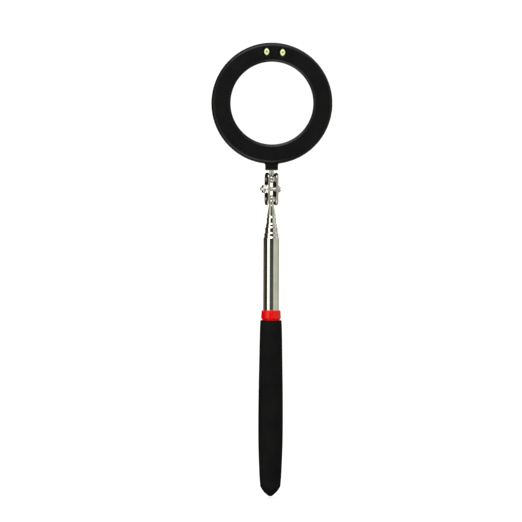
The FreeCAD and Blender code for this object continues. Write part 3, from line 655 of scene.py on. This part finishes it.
def studs():
    """The lower stud turns in the ferrule, the upper one in the head's neck."""
    low, high, _ = spread("tip_ball_stud")
    rise = spread("tip_ferrule")[1].z + 0.03 * MM
    foot, foot_top = 1.72 * MM, low.z + 1.2 * MM
    flange, flange_top = 1.65 * MM, rise + 0.5 * MM
    below = [
        (SHANK, flange_top, 0.1 * MM),
        (flange, flange_top, 0.12 * MM),
        (flange, rise),
        (SHANK, rise),
        (SHANK, foot_top),
        (foot, foot_top),
        (foot, low.z),
        (0.0, low.z),
    ]
    stud("tip_ball_stud", "tip_stud", high.z - BALL, -1, below)
    low, high, _ = spread("head_ball_stud")
    neck = spread("rear_housing")[0].z
    flange, flange_low, flange_top = 1.8 * MM, neck + 0.2 * MM, neck + 1.27 * MM
    above = [
        (SHANK, flange_low, 0.1 * MM),
        (flange, flange_low, 0.1 * MM),
        (flange, flange_top),
        (SHANK, flange_top),
        (SHANK, high.z, 0.2 * MM),
        (0.0, high.z),
    ]
    stud("head_ball_stud", "head_stud", low.z + BALL, 1, above)


# ------ clamp

JOINTS = {joint["name"]: joint for joint in frame["record"]["behaviour"]["joints"]}
TILT_AXIS = Vector(JOINTS["clamp_tilt"]["axis"])
SCREW_POINT = Vector(JOINTS["clamp_screw_turn"]["pos_m"])
ACROSS_AXIS = Vector((-TILT_AXIS.y, TILT_AXIS.x, 0))
PLATE_THICKNESS = 1.45 * MM
PLATE_FACE = 2.25 * MM + PLATE_THICKNESS  # its outer face, from the screw's middle


def clamp_place(along, across, up):
    """A point given along the screw, across the plates and up, from the screw's middle."""
    return SCREW_POINT + TILT_AXIS * along + ACROSS_AXIS * across + Vector((0, 0, up))


def clamp_plate(word, side):
    """A pressed plate: bowed section, rolled edges, and seats dimpled round each hole."""
    low, high, _ = spread(f"clamp_plate_{word}")
    half_length, half_width = (high.z - low.z) / 2, 4.0 * MM
    bow, ball_level = 30 * MM, 6.35 * MM
    outline = round_box(0, 0, half_width, half_length, half_width, per_corner=14)
    holes = [circle(0, 0, 1.3 * MM, 32)]
    holes += [circle(0, end * ball_level, 1.12 * MM, 32) for end in (1, -1)]

    def below_face(drop):
        """Puts a point on the bowed plate, some way below its outer face."""
        base = PLATE_FACE - drop - bow
        return lambda across, up: clamp_place(side * (base + math.sqrt(bow**2 - across**2)), across, up)

    grid = []
    for row in range(-9, 10):
        for column in range(-3, 4):
            across, up = column * 1.0 * MM, row * 1.0 * MM
            gaps = [math.hypot(across, up - rise) for rise in (0, ball_level, -ball_level)]
            from_spine = math.hypot(across, max(abs(up) - ball_level, 0))
            if min(gaps) > 1.7 * MM and from_spine < half_width - 0.5 * MM:
                grid.append((across, up))
    builder = Builder()
    roll, seat = 0.3 * MM, 0.15 * MM
    for drop in (0.0, PLATE_THICKNESS):
        builder.fill(outline(-roll), [hole(seat) for hole in holes], below_face(drop), grid)
    edge = [(-roll, 0.0), (-0.62 * roll, 0.08 * roll), (-0.29 * roll, 0.29 * roll)]
    edge += [(-0.08 * roll, 0.62 * roll), (0.0, roll)]
    lower = [(grow, PLATE_THICKNESS - drop) for grow, drop in reversed(edge)]
    builder.walls(outline, edge + lower, below_face)
    dimple = [(seat, 0.0), (0.04 * MM, 0.06 * MM), (0.0, seat)]
    dimple += [(0.0, PLATE_THICKNESS - seat), (seat, PLATE_THICKNESS)]
    for hole in holes:
        builder.walls(hole, dimple, below_face)
    piece = builder.build(f"clamp_plate_{word}_pressed", sharp=50)
    place_piece(piece, "clamp", PLATE_STEEL, f"clamp_plate_{word}")


def ring(builder, place, along, radii):
    """A loop round an axis, with a radius for each step; place puts it in 3-D."""
    points = []
    for turn, radius in zip(around(len(radii)), radii):
        points.append(place(along, radius * math.cos(turn), radius * math.sin(turn)))
    return builder.loop(points)


def clamp_screw():
    """A slotted round-head screw with a real helical thread on its shank."""
    face = PLATE_FACE + 0.03 * MM
    head_end = face + 2.4 * MM
    end = -(face + 3.6 * MM)
    outer, pitch, depth, count = 1.25 * MM, 0.45 * MM, 0.13 * MM, 40
    builder = Builder()
    loops = [builder.pole(clamp_place(end, 0, 0), count)]
    rows = int((face - end) / (pitch / 6))
    for row in range(rows + 1):
        along = end + (face - end) * row / rows
        taper = min(1.0, (along - end) / (0.5 * MM) + 0.55)
        radii = []
        for step in range(count):
            wave = abs(2 * ((along / pitch + step / count) % 1) - 1)
            radii.append((outer - depth * min(1.0, 1.3 * wave)) * taper)
        loops.append(ring(builder, clamp_place, along, radii))
    dome = [
        (outer, face),
        (2.4 * MM, face, 0.12 * MM),
        (2.4 * MM, face + 0.8 * MM, 0.3 * MM),
        (2.05 * MM, face + 1.7 * MM, 0.9 * MM),
        (1.2 * MM, face + 2.25 * MM, 1.0 * MM),
        (0.0, head_end),
    ]
    head = rounded(dome, segments=8)
    for radius, along in head[:-1]:
        loops.append(ring(builder, clamp_place, along, [radius] * count))
    loops.append(builder.pole(clamp_place(head_end, 0, 0), count))
    builder.stack(loops)
    piece = builder.build("clamp_screw_slotted", sharp=40)
    slot_length, slot_width, slot_depth = 8 * MM, 0.7 * MM, 1.1 * MM
    slot = bar(
        (-slot_length / 2, -slot_width / 2, head_end - slot_depth),
        (slot_length / 2, slot_width / 2, head_end + 1 * MM),
        lambda across, up, along: clamp_place(along, across, up),
    )
    carved(piece, [slot])
    place_piece(piece, "screw", PLATED, "clamp_screw")


def hex_nut(node, body, place, thickness, bore, twist=0.0):
    """A hexagon nut whose corners are turned off at both faces."""
    count = 72
    corner_radius = 2.88 * MM
    flat = corner_radius * math.cos(math.pi / 6)
    bevel, chamfer = 0.35 * MM, 0.2 * MM
    builder = Builder()
    loops = []
    for along in (0.0, 0.5 * bevel, bevel, thickness - bevel, thickness - 0.5 * bevel, thickness):
        limit = flat * 0.975 + min(along, thickness - along) * 1.45
        radii = []
        for turn in around(count):
            within = (turn - twist + math.pi / 2) % (math.pi / 3) - math.pi / 6
            radii.append(min(flat / math.cos(within), limit))
        loops.append(ring(builder, place, along, radii))
    mouth = bore + 0.18 * MM
    bored = [(thickness, mouth), (thickness - chamfer, bore), (chamfer, bore), (0.0, mouth)]
    for along, radius in bored:
        loops.append(ring(builder, place, along, [radius] * count))
    builder.stack([*loops, loops[0]])
    piece = builder.build(f"{node}_hex", sharp=25)
    place_piece(piece, body, PLATED, node)


def nuts():
    """One outside the left plate, one inside the head's neck."""

    def outside_plate(along, across, up):
        return clamp_place(-PLATE_FACE - along, across, up)

    thickness, bore, turned = 2.2 * MM, 1.28 * MM, math.radians(30)
    hex_nut("clamp_nut", "clamp", outside_plate, thickness, bore, turned)
    low, high, _ = spread("stud_nut")

    def inside_neck(along, across, up):
        return Vector((up, across, low.z + along))

    hex_nut("stud_nut", "head_stud", inside_neck, high.z - low.z, SHANK)


# ------ head

BEZEL_LOW, BEZEL_HIGH, _ = spread("front_bezel")
RING_CENTRE = Vector((0, 0, (BEZEL_LOW.z + BEZEL_HIGH.z) / 2))
RING_RADIUS = (BEZEL_HIGH.z - BEZEL_LOW.z) / 2
FRONT = BEZEL_LOW.y
BACK = spread("rear_housing")[1].y
SPLIT = -1.5 * MM  # depth of the seam between bezel and housing
WALL = 1.6 * MM
SCREW_HEAD, SCREW_THREAD = 1.8 * MM, 1.0 * MM  # radii of the small screws


def head_point(depth):
    """Puts a 2-D point of the ring's face at a depth."""
    return lambda x, z: Vector((x, depth, z)) + RING_CENTRE


def ring_loop(radius):
    return circle(0, 0, radius, STEPS)()


def strip(builder, corners, segments=8):
    """A turned strip of the head, open at both ends."""
    lathe_into(builder, rounded(corners, segments=segments), "y", RING_CENTRE)


def bezel():
    """The front ring: softly rounded rim and lip, flat face, two light holes."""
    face_back = FRONT + 1.8 * MM
    lip_flat, rim_flat = 28.3 * MM, RING_RADIUS - 2.9 * MM
    opening, inner = 26.0 * MM, RING_RADIUS - WALL
    lip = [
        (lip_flat, FRONT),
        (opening + 1.5 * MM, FRONT + 0.05 * MM, 1.5 * MM),
        (opening, FRONT + 0.75 * MM, 0.7 * MM),
        (opening, face_back, 0.1 * MM),
        (opening + 2 * MM, face_back),
    ]
    rim = [
        (rim_flat, FRONT),
        (RING_RADIUS - 0.15 * MM, FRONT, 2.5 * MM),
        (RING_RADIUS, SPLIT - 0.2 * MM, 0.1 * MM),
        (RING_RADIUS - 0.2 * MM, SPLIT, 0.05 * MM),
        (inner, SPLIT),
        (inner, face_back),
    ]
    builder = Builder()
    strip(builder, lip)
    strip(builder, rim, segments=12)
    lights = []
    for word in ("left", "right"):
        middle = spread(f"led_{word}")[2] - RING_CENTRE
        lights.append(circle(middle.x, middle.z, 2.6 * MM, 40))
    bevel = 0.22 * MM
    front_holes = [ring_loop(lip_flat), *[light(bevel) for light in lights]]
    back_holes = [ring_loop(opening + 2 * MM), *[light() for light in lights]]
    builder.fill(ring_loop(rim_flat), front_holes, head_point(FRONT))
    builder.fill(ring_loop(inner), back_holes, head_point(face_back))
    levels = [(bevel, FRONT), (0.3 * bevel, FRONT + 0.25 * bevel), (0.0, FRONT + bevel), (0.0, face_back)]
    for light in lights:
        builder.walls(light, levels, head_point)
    # a post behind the face for each case screw
    wide, start, end = 2.5 * MM, face_back - 0.2 * MM, BACK - 4.1 * MM
    post = [(0.0, start), (wide, start), (wide, end), (0.0, end)]
    for x, z in case_screw_centres():
        lathe_into(builder, post, "y", RING_CENTRE + Vector((x, 0, z)), steps=32)
    piece = builder.build("front_bezel_ring", sharp=32)
    place_piece(piece, "head", BLACK, "front_bezel")


def case_screw_centres():
    low, high, _ = spread("housing_screws")
    reach = (high.x - low.x) / 2 - SCREW_HEAD
    return [(right * reach, up * reach) for right in (1, -1) for up in (1, -1)]


def door_outline(grow=0.0):
    low, high, middle = spread("battery_door")
    size = (high - low) / 2
    outline = round_box(0, middle.z - RING_CENTRE.z, size.x, size.z, 3 * MM)
    return lambda more=0.0: outline(grow + more)


def switch_outlines():
    """The recess round the knob and the slot under it, each as long as the knob's travel."""
    level = spread("switch_knob")[2].z - RING_CENTRE.z
    half = JOINTS["light_switch"]["range_m"][1] / 2
    recess = round_box(half, level, 3.1 * MM + half, 2.5 * MM, 1.2 * MM)
    slot = round_box(half, level, 1.8 * MM + half, 1.2 * MM, 0.2 * MM)
    return recess, slot


def housing():
    """The back shell: rounded rim, seam step, door pocket, switch recess, screw holes."""
    floor = BACK - 2 * MM
    inner, flat = RING_RADIUS - 2.2 * MM, RING_RADIUS - 3.4 * MM
    rim = [
        (flat, BACK),
        (RING_RADIUS - 0.1 * MM, BACK, 3 * MM),
        (RING_RADIUS, SPLIT + 0.2 * MM, 0.1 * MM),
        (RING_RADIUS - 0.2 * MM, SPLIT, 0.05 * MM),
        (RING_RADIUS - WALL, SPLIT),
        (RING_RADIUS - WALL, SPLIT - 1 * MM),
        (inner, SPLIT - 1 * MM),
        (inner, floor),
    ]
    builder = Builder()
    strip(builder, rim, segments=12)
    # each stepped hole: its outline outside, its outline inside, and the shelf's depth
    recess, slot = switch_outlines()
    steps = [(recess, slot, 1.0 * MM), (door_outline(0.15 * MM), door_outline(-1 * MM), 1.2 * MM)]
    for x, z in case_screw_centres():
        steps.append((circle(x, z, 1.9 * MM, 32), circle(x, z, 1.1 * MM, 32), 1.0 * MM))
    bevel = 0.2 * MM
    outer_holes = [outside(bevel) for outside, _, _ in steps]
    inner_holes = [inside() for _, inside, _ in steps]
    builder.fill(ring_loop(flat), outer_holes, head_point(BACK))
    builder.fill(ring_loop(inner), inner_holes, head_point(floor))
    for outside, inside, drop in steps:
        shelf = BACK - drop
        edge = [(bevel, BACK), (0.3 * bevel, BACK - 0.3 * bevel), (0.0, BACK - bevel)]
        builder.walls(outside, edge + [(0.0, shelf)], head_point)
        builder.fill(outside(), [inside()], head_point(shelf))
        builder.walls(inside, [(0.0, shelf), (0.0, floor)], head_point)
    neck_into(builder)
    piece = builder.build("rear_housing_shell", sharp=32)
    place_piece(piece, "head", BLACK, "rear_housing")


def neck_into(builder):
    """The square neck, bored for the stud and faired into the round shell."""
    half, bevel = 4.075 * MM, 0.6 * MM
    bottom = spread("rear_housing")[0].z
    outline = round_box(0, 0, half, half, 0.7 * MM, per_corner=6)
    bore = circle(0, 0, 1.83 * MM, 28)

    def above_bottom(rise):
        return lambda x, y: Vector((x, y, bottom + rise))

    levels = [(-bevel, 0.0), (-0.7 * bevel, 0.1 * bevel), (-0.1 * bevel, 0.75 * bevel)]
    levels += [(0.0, 1.2 * bevel), (0.0, 2.5 * MM)]
    loops = builder.walls(outline, levels, above_bottom)[-1:]
    for flare, below in ((1.0, 0.9 * MM), (1.03, 0.4 * MM), (1.12, 0.0), (1.12, -0.3 * MM)):
        joint = []
        for x, y in outline():
            surface = math.sqrt(RING_RADIUS**2 - x**2) + below
            joint.append((x * flare, y, RING_CENTRE.z - surface))
        loops.append(builder.loop(joint))
    builder.stack(loops)
    builder.cap(loops[-1])
    builder.fill(outline(-bevel), [bore()], above_bottom(0.0))
    wall = builder.walls(bore, [(0.0, 0.0), (0.0, 2 * MM)], above_bottom)
    builder.cap(wall[-1])


def mirror():
    """The glass disc with a narrow ground edge."""
    low, high, _ = spread("mirror_glass")
    radius, ground = (high.x - low.x) / 2, 0.35 * MM
    corners = [
        (0.0, low.y),
        (radius - ground, low.y, 0.05 * MM),
        (radius, low.y + ground, 0.05 * MM),
        (radius, high.y, 0.1 * MM),
        (0.0, high.y),
    ]
    profile = rounded(corners, segments=4)
    piece = lathe("mirror_glass_disc", profile, "y", RING_CENTRE, steps=160, sharp=20)
    place_piece(piece, "head", SILVER, "mirror_glass")


def lights():
    """Two round lights with flanges, domed lenses just inside their holes."""
    lens, flange, dome = 2.5 * MM, 2.9 * MM, 1.5 * MM
    for word in ("left", "right"):
        low, high, middle = spread(f"led_{word}")
        profile = []
        for step in range(17):
            turn = math.pi / 2 * step / 16
            profile.append((lens * math.sin(turn), low.y + dome * (1 - math.cos(turn))))
        flange_low = high.y - 1 * MM
        profile += [(lens, flange_low), (flange, flange_low), (flange, high.y), (0.0, high.y)]
        centre = Vector((middle.x, 0, middle.z))
        piece = lathe(f"led_{word}_lens", profile, "y", centre, steps=48)
        finish = led_lens(f"led_lens_{word}", centre)
        place_piece(piece, "head", finish, f"led_{word}")


def door():
    """The flush lid with a sunk screw and five thumb grooves at each end."""
    low, high, middle = spread("battery_door")
    level, top = middle.z - RING_CENTRE.z, high.y
    # the lid's underside stands just clear of the ledge that it rests on
    seat = low.y + 0.02 * MM
    outline = door_outline()
    bore, shank = circle(0, level, 1.9 * MM, 32), circle(0, level, SCREW_THREAD, 32)
    grooves = []
    for side in (1, -1):
        for number in range(5):
            x = side * (15 + 1.3 * number) * MM
            grooves.append(round_box(x, level, 0.3 * MM, 4.5 * MM, 0.3 * MM, per_corner=4))
    bevel, bore_edge, groove_edge = 0.2 * MM, 0.1 * MM, 0.08 * MM
    builder = Builder()
    holes = [bore(bore_edge), *[groove(groove_edge) for groove in grooves]]
    builder.fill(outline(-bevel), holes, head_point(top))
    rim = [(-bevel, top), (-0.3 * bevel, top - 0.3 * bevel), (0.0, top - bevel), (0.0, seat)]
    builder.walls(outline, rim, head_point)
    narrow, deep = -0.12 * MM, top - 0.35 * MM
    for groove in grooves:
        builder.walls(groove, [(groove_edge, top), (0.0, top - 0.1 * MM), (narrow, deep)], head_point)
        builder.fill(groove(narrow), [], head_point(deep))
    sunk = top - 0.95 * MM
    builder.walls(bore, [(bore_edge, top), (0.0, top - 0.1 * MM), (0.0, sunk)], head_point)
    builder.fill(bore(), [shank()], head_point(sunk))
    builder.walls(shank, [(0.0, sunk), (0.0, seat)], head_point)
    builder.fill(outline(), [shank()], head_point(seat))
    piece = builder.build("battery_door_lid", sharp=32)
    place_piece(piece, "door", DOOR_BLACK, "battery_door")


def cross_head(name, x, z, node):
    """A pan-headed screw with a straight-sided cross recess, as deep as its node."""
    low, high, _ = spread(node)
    tip, top = low.y, high.y
    centre = RING_CENTRE + Vector((x, 0, z))
    head_low = top - 0.9 * MM
    corners = [
        (0.0, top),
        (1.2 * MM, top - 0.03 * MM, 0.3 * MM),
        (SCREW_HEAD, top - 0.35 * MM, 0.3 * MM),
        (SCREW_HEAD, head_low, 0.1 * MM),
        (SCREW_THREAD, head_low),
        (SCREW_THREAD, tip, 0.2 * MM),
        (0.0, tip),
    ]
    profile = rounded(corners)
    piece = lathe(name, profile, "y", centre, steps=40)
    arms = []
    for wide, tall in ((1.05, 0.2), (0.2, 1.05)):
        size = Vector((wide * MM, 0, tall * MM))
        bottom, above = Vector((0, top - 0.55 * MM, 0)), Vector((0, top + 1 * MM, 0))
        arms.append(bar(centre - size + bottom, centre + size + above))
    return carved(piece, arms)


def small_screws():
    """The door's screw, and the four case screws as one piece."""
    level = spread("battery_door_screw")[2].z - RING_CENTRE.z
    door_screw = cross_head("battery_door_screw_cross", 0, level, "battery_door_screw")
    place_piece(door_screw, "door", DARK_SCREW, "battery_door_screw")
    four = Builder()
    for x, z in case_screw_centres():
        screw = cross_head("housing_screw", x, z, "housing_screws")
        start = len(four.points)
        four.points += [vertex.co.copy() for vertex in screw.data.vertices]
        four.faces += [tuple(start + v for v in face.vertices) for face in screw.data.polygons]
        bpy.data.objects.remove(screw)
    group = four.build("housing_screws_cross")
    place_piece(group, "head", DARK_SCREW, "housing_screws")


def inner_finishes():
    """The hidden CAD pieces keep their shapes and get their own finishes."""
    bushes = [f"slide_bush_{number}" for number in range(1, 6)]
    for finish, *nodes in (
        (FOAM, "mirror_pad"),
        (TRAY_BLACK, "inner_tray", "tube_end_plug"),
        (BOARD, "circuit_board"),
        (CELL, "coin_cell_left", "coin_cell_right", "switch_body"),
        (BRASS, "cell_contact_left", "cell_contact_right", "cell_bridge", *bushes),
        (KNOB_BLACK, "switch_knob"),
    ):
        for node in nodes:
            for slot in bpy.data.objects[node].material_slots:
                slot.material = finish


# ------ stage, light and camera

TIP = CAD_BOX[0].z
FLOOR = TIP - 1.5 * MM


def backdrop():
    """A pale floor that sweeps up into a wall behind the object."""
    half, front, back, bend, wall = 15.0, -13.0, 5.5, 3.0, 15.0
    line = [(front, FLOOR)]
    for step in range(17):
        turn = math.pi / 2 * step / 16
        line.append((back - bend + bend * math.sin(turn), FLOOR + bend * (1 - math.cos(turn))))
    line.append((back, FLOOR + wall))
    builder = Builder()
    left, right = (builder.loop([(x, y, z) for y, z in line]) for x in (-half, half))
    builder.bridge(left, right, closed=False)
    sweep = builder.build("backdrop", sharp=60)
    finish = Finish("backdrop_paper", 0.9)
    finish.colour(finish.mixed(finish.patches(3, 3), (0.86, 0.86, 0.855), (0.88, 0.88, 0.88)))
    finish.put(finish.surface["Emission Color"], (1, 1, 0.995))
    finish.put(finish.surface["Emission Strength"], 0.55)
    sweep.data.materials.append(finish.material)
    sweep.visible_glossy = sweep.visible_diffuse = False


class Sky(Nodes):
    """The room's light as a colour for each direction, built from soft-edged zones.

    Bearing is the angle round from the camera, positive to the right, and height is the
    angle above level, both in degrees.
    """

    def __init__(self):
        world = bpy.data.worlds.new("studio")
        bpy.context.scene.world = world
        world.use_nodes = True
        self.tree = world.node_tree
        direction = self.add("ShaderNodeTexCoord").outputs["Generated"]
        split = self.add("ShaderNodeSeparateXYZ", {"Vector": direction})
        toward = self.math("MULTIPLY", split.outputs["Y"], -1.0)
        turn = self.math("ARCTAN2", split.outputs["X"], toward)
        self.bearing = self.math("MULTIPLY", turn, 180 / math.pi)
        rise = self.math("ARCSINE", split.outputs["Z"])
        self.height = self.math("MULTIPLY", rise, 180 / math.pi)

    def step(self, value, low, high):
        """0 below the low angle, 1 above the high one."""
        return self.ranged(value, 0.0, 1.0, low, high, interpolation_type="SMOOTHSTEP")

    def zones(self, value, first, *changes):
        """Colours one after another, each change given as (from, to, next colour)."""
        colour = first
        for low, high, following in changes:
            colour = self.mixed(self.step(value, low, high), colour, following)
        return colour


def room_light():
    """A soft box on the left, a dimmer wall on the right, dark behind the camera."""
    sky = Sky()
    black, dim, soft_box = (0.003, 0.003, 0.002), (0.02, 0.02, 0.02), (1.1, 1.1, 1.05)
    dark_front = sky.zones(sky.height, (0.07, 0.08, 0.066), (0.42, 0.52, black))
    dark_left = sky.zones(sky.height, (0.11, 0.094, 0.062), (0.42, 0.52, (0.01, 0.006, 0.002)))
    level = sky.zones(
        sky.bearing,
        (0.012, 0.009, 0.005),
        (-142, -132, dark_left),
        (-97, -93, black),
        (-65, -57, (1.35, 1.32, 1.12)),
        (-29, -17, dark_front),
        (24, 42, (0.6, 0.6, 0.5)),
        (48, 60, (0.52, 0.52, 0.43)),
        (104, 114, (0.38, 0.38, 0.31)),
        (152, 164, (0.02, 0.02, 0.015)),
    )
    sloping = sky.zones(
        sky.bearing,
        (1.0, 1.0, 0.95),
        (-152, -144, (0.03, 0.025, 0.02)),
        (-88, -80, (1.05, 1.03, 0.92)),
        (-76, -66, (0.35, 0.34, 0.3)),
        (-45, -38, (0.6, 0.58, 0.52)),
        (-22, -14, (0.04, 0.04, 0.035)),
        (14, 26, (0.35, 0.35, 0.3)),
        (45, 55, (0.24, 0.24, 0.2)),
        (76, 86, (0.7, 0.7, 0.62)),
        (115, 130, (0.25, 0.25, 0.23)),
        (143, 150, (1.0, 1.0, 0.95)),
    )
    from_left = (-75, -55, soft_box)
    above = sky.zones(
        sky.bearing, dim, from_left, (25, 45, (0.22, 0.22, 0.2)), (75, 90, (0.9, 0.9, 0.86))
    )
    high = sky.zones(sky.bearing, (0.5, 0.5, 0.48), from_left, (60, 90, (1.0, 1.0, 0.95)))
    below = sky.zones(sky.bearing, dim, (-85, -65, (1.9, 1.9, 1.8)), (-8, 22, (0.3, 0.3, 0.28)))
    colour = sky.zones(
        sky.height,
        dim,
        (-78, -68, below),
        (-28, -20, sloping),
        (-9, -5, level),
        (5, 9, sloping),
        (26, 32, above),
        (48, 56, high),
        (74, 84, (0.85, 0.85, 0.8)),
    )
    # a small bright card straight ahead of the mirror, just above the camera
    beside = sky.math("ABSOLUTE", sky.bearing)
    under_top = sky.math("SUBTRACT", 1.0, sky.step(sky.height, 5.2, 5.6))
    within = sky.math("SUBTRACT", 1.0, sky.step(beside, 3.0, 3.4))
    over_foot = sky.step(sky.height, 2.15, 2.35)
    card = sky.math("MULTIPLY", over_foot, sky.math("MULTIPLY", under_top, within))
    colour = sky.mixed(card, colour, (1.12, 1.12, 1.12))
    # past the backdrop's edges the room itself is seen as plain white
    seen_directly = sky.add("ShaderNodeLightPath").outputs["Is Camera Ray"]
    background = sky.tree.nodes["Background"].inputs["Color"]
    sky.put(background, sky.mixed(seen_directly, colour, (1.0, 1.0, 1.0)))


def soft_light(name, place, size, power):
    """A soft box pointed at the middle of the object."""
    lamp = bpy.data.lights.new(name, "AREA")
    lamp.shape = "RECTANGLE"
    lamp.size, lamp.size_y = size
    lamp.energy = power
    stand = in_scene(name, lamp)
    stand.location = place
    aim = Vector((0, 0, 0.09)) - Vector(place)
    stand.rotation_euler = aim.to_track_quat("-Z", "Y").to_euler()
    return stand


def camera():
    """Square on to the mirror, through a long lens, rolled a quarter of a degree."""
    lens = bpy.data.cameras.new("camera")
    lens.sensor_width, lens.lens = 36, 180
    field = 329.4 * MM  # width of the view at the object
    distance = field * lens.lens / lens.sensor_width
    lens.clip_start, lens.clip_end = 0.05, 20
    eye = in_scene("camera", lens)
    eye.location = (-6.45 * MM, -distance, TIP + 148.4 * MM)
    roll = Matrix.Rotation(math.radians(-0.24), 4, "Y")
    eye.rotation_euler = (roll @ Matrix.Rotation(math.pi / 2, 4, "X")).to_euler()
    bpy.context.scene.camera = eye


grip()
collar()
tubes()
ferrule()
studs()
clamp_plate("left", -1)
clamp_plate("right", 1)
clamp_screw()
nuts()
bezel()
housing()
mirror()
lights()
door()
small_screws()
inner_finishes()
backdrop()
room_light()
soft_light("key", (-0.25, -1.1, 1.2), (0.9, 0.7), 6)
soft_light("fill", (0.35, -1.3, 0.3), (0.8, 0.8), 3.6).visible_glossy = False
camera()
bpy.context.scene.view_settings.view_transform = "Standard"
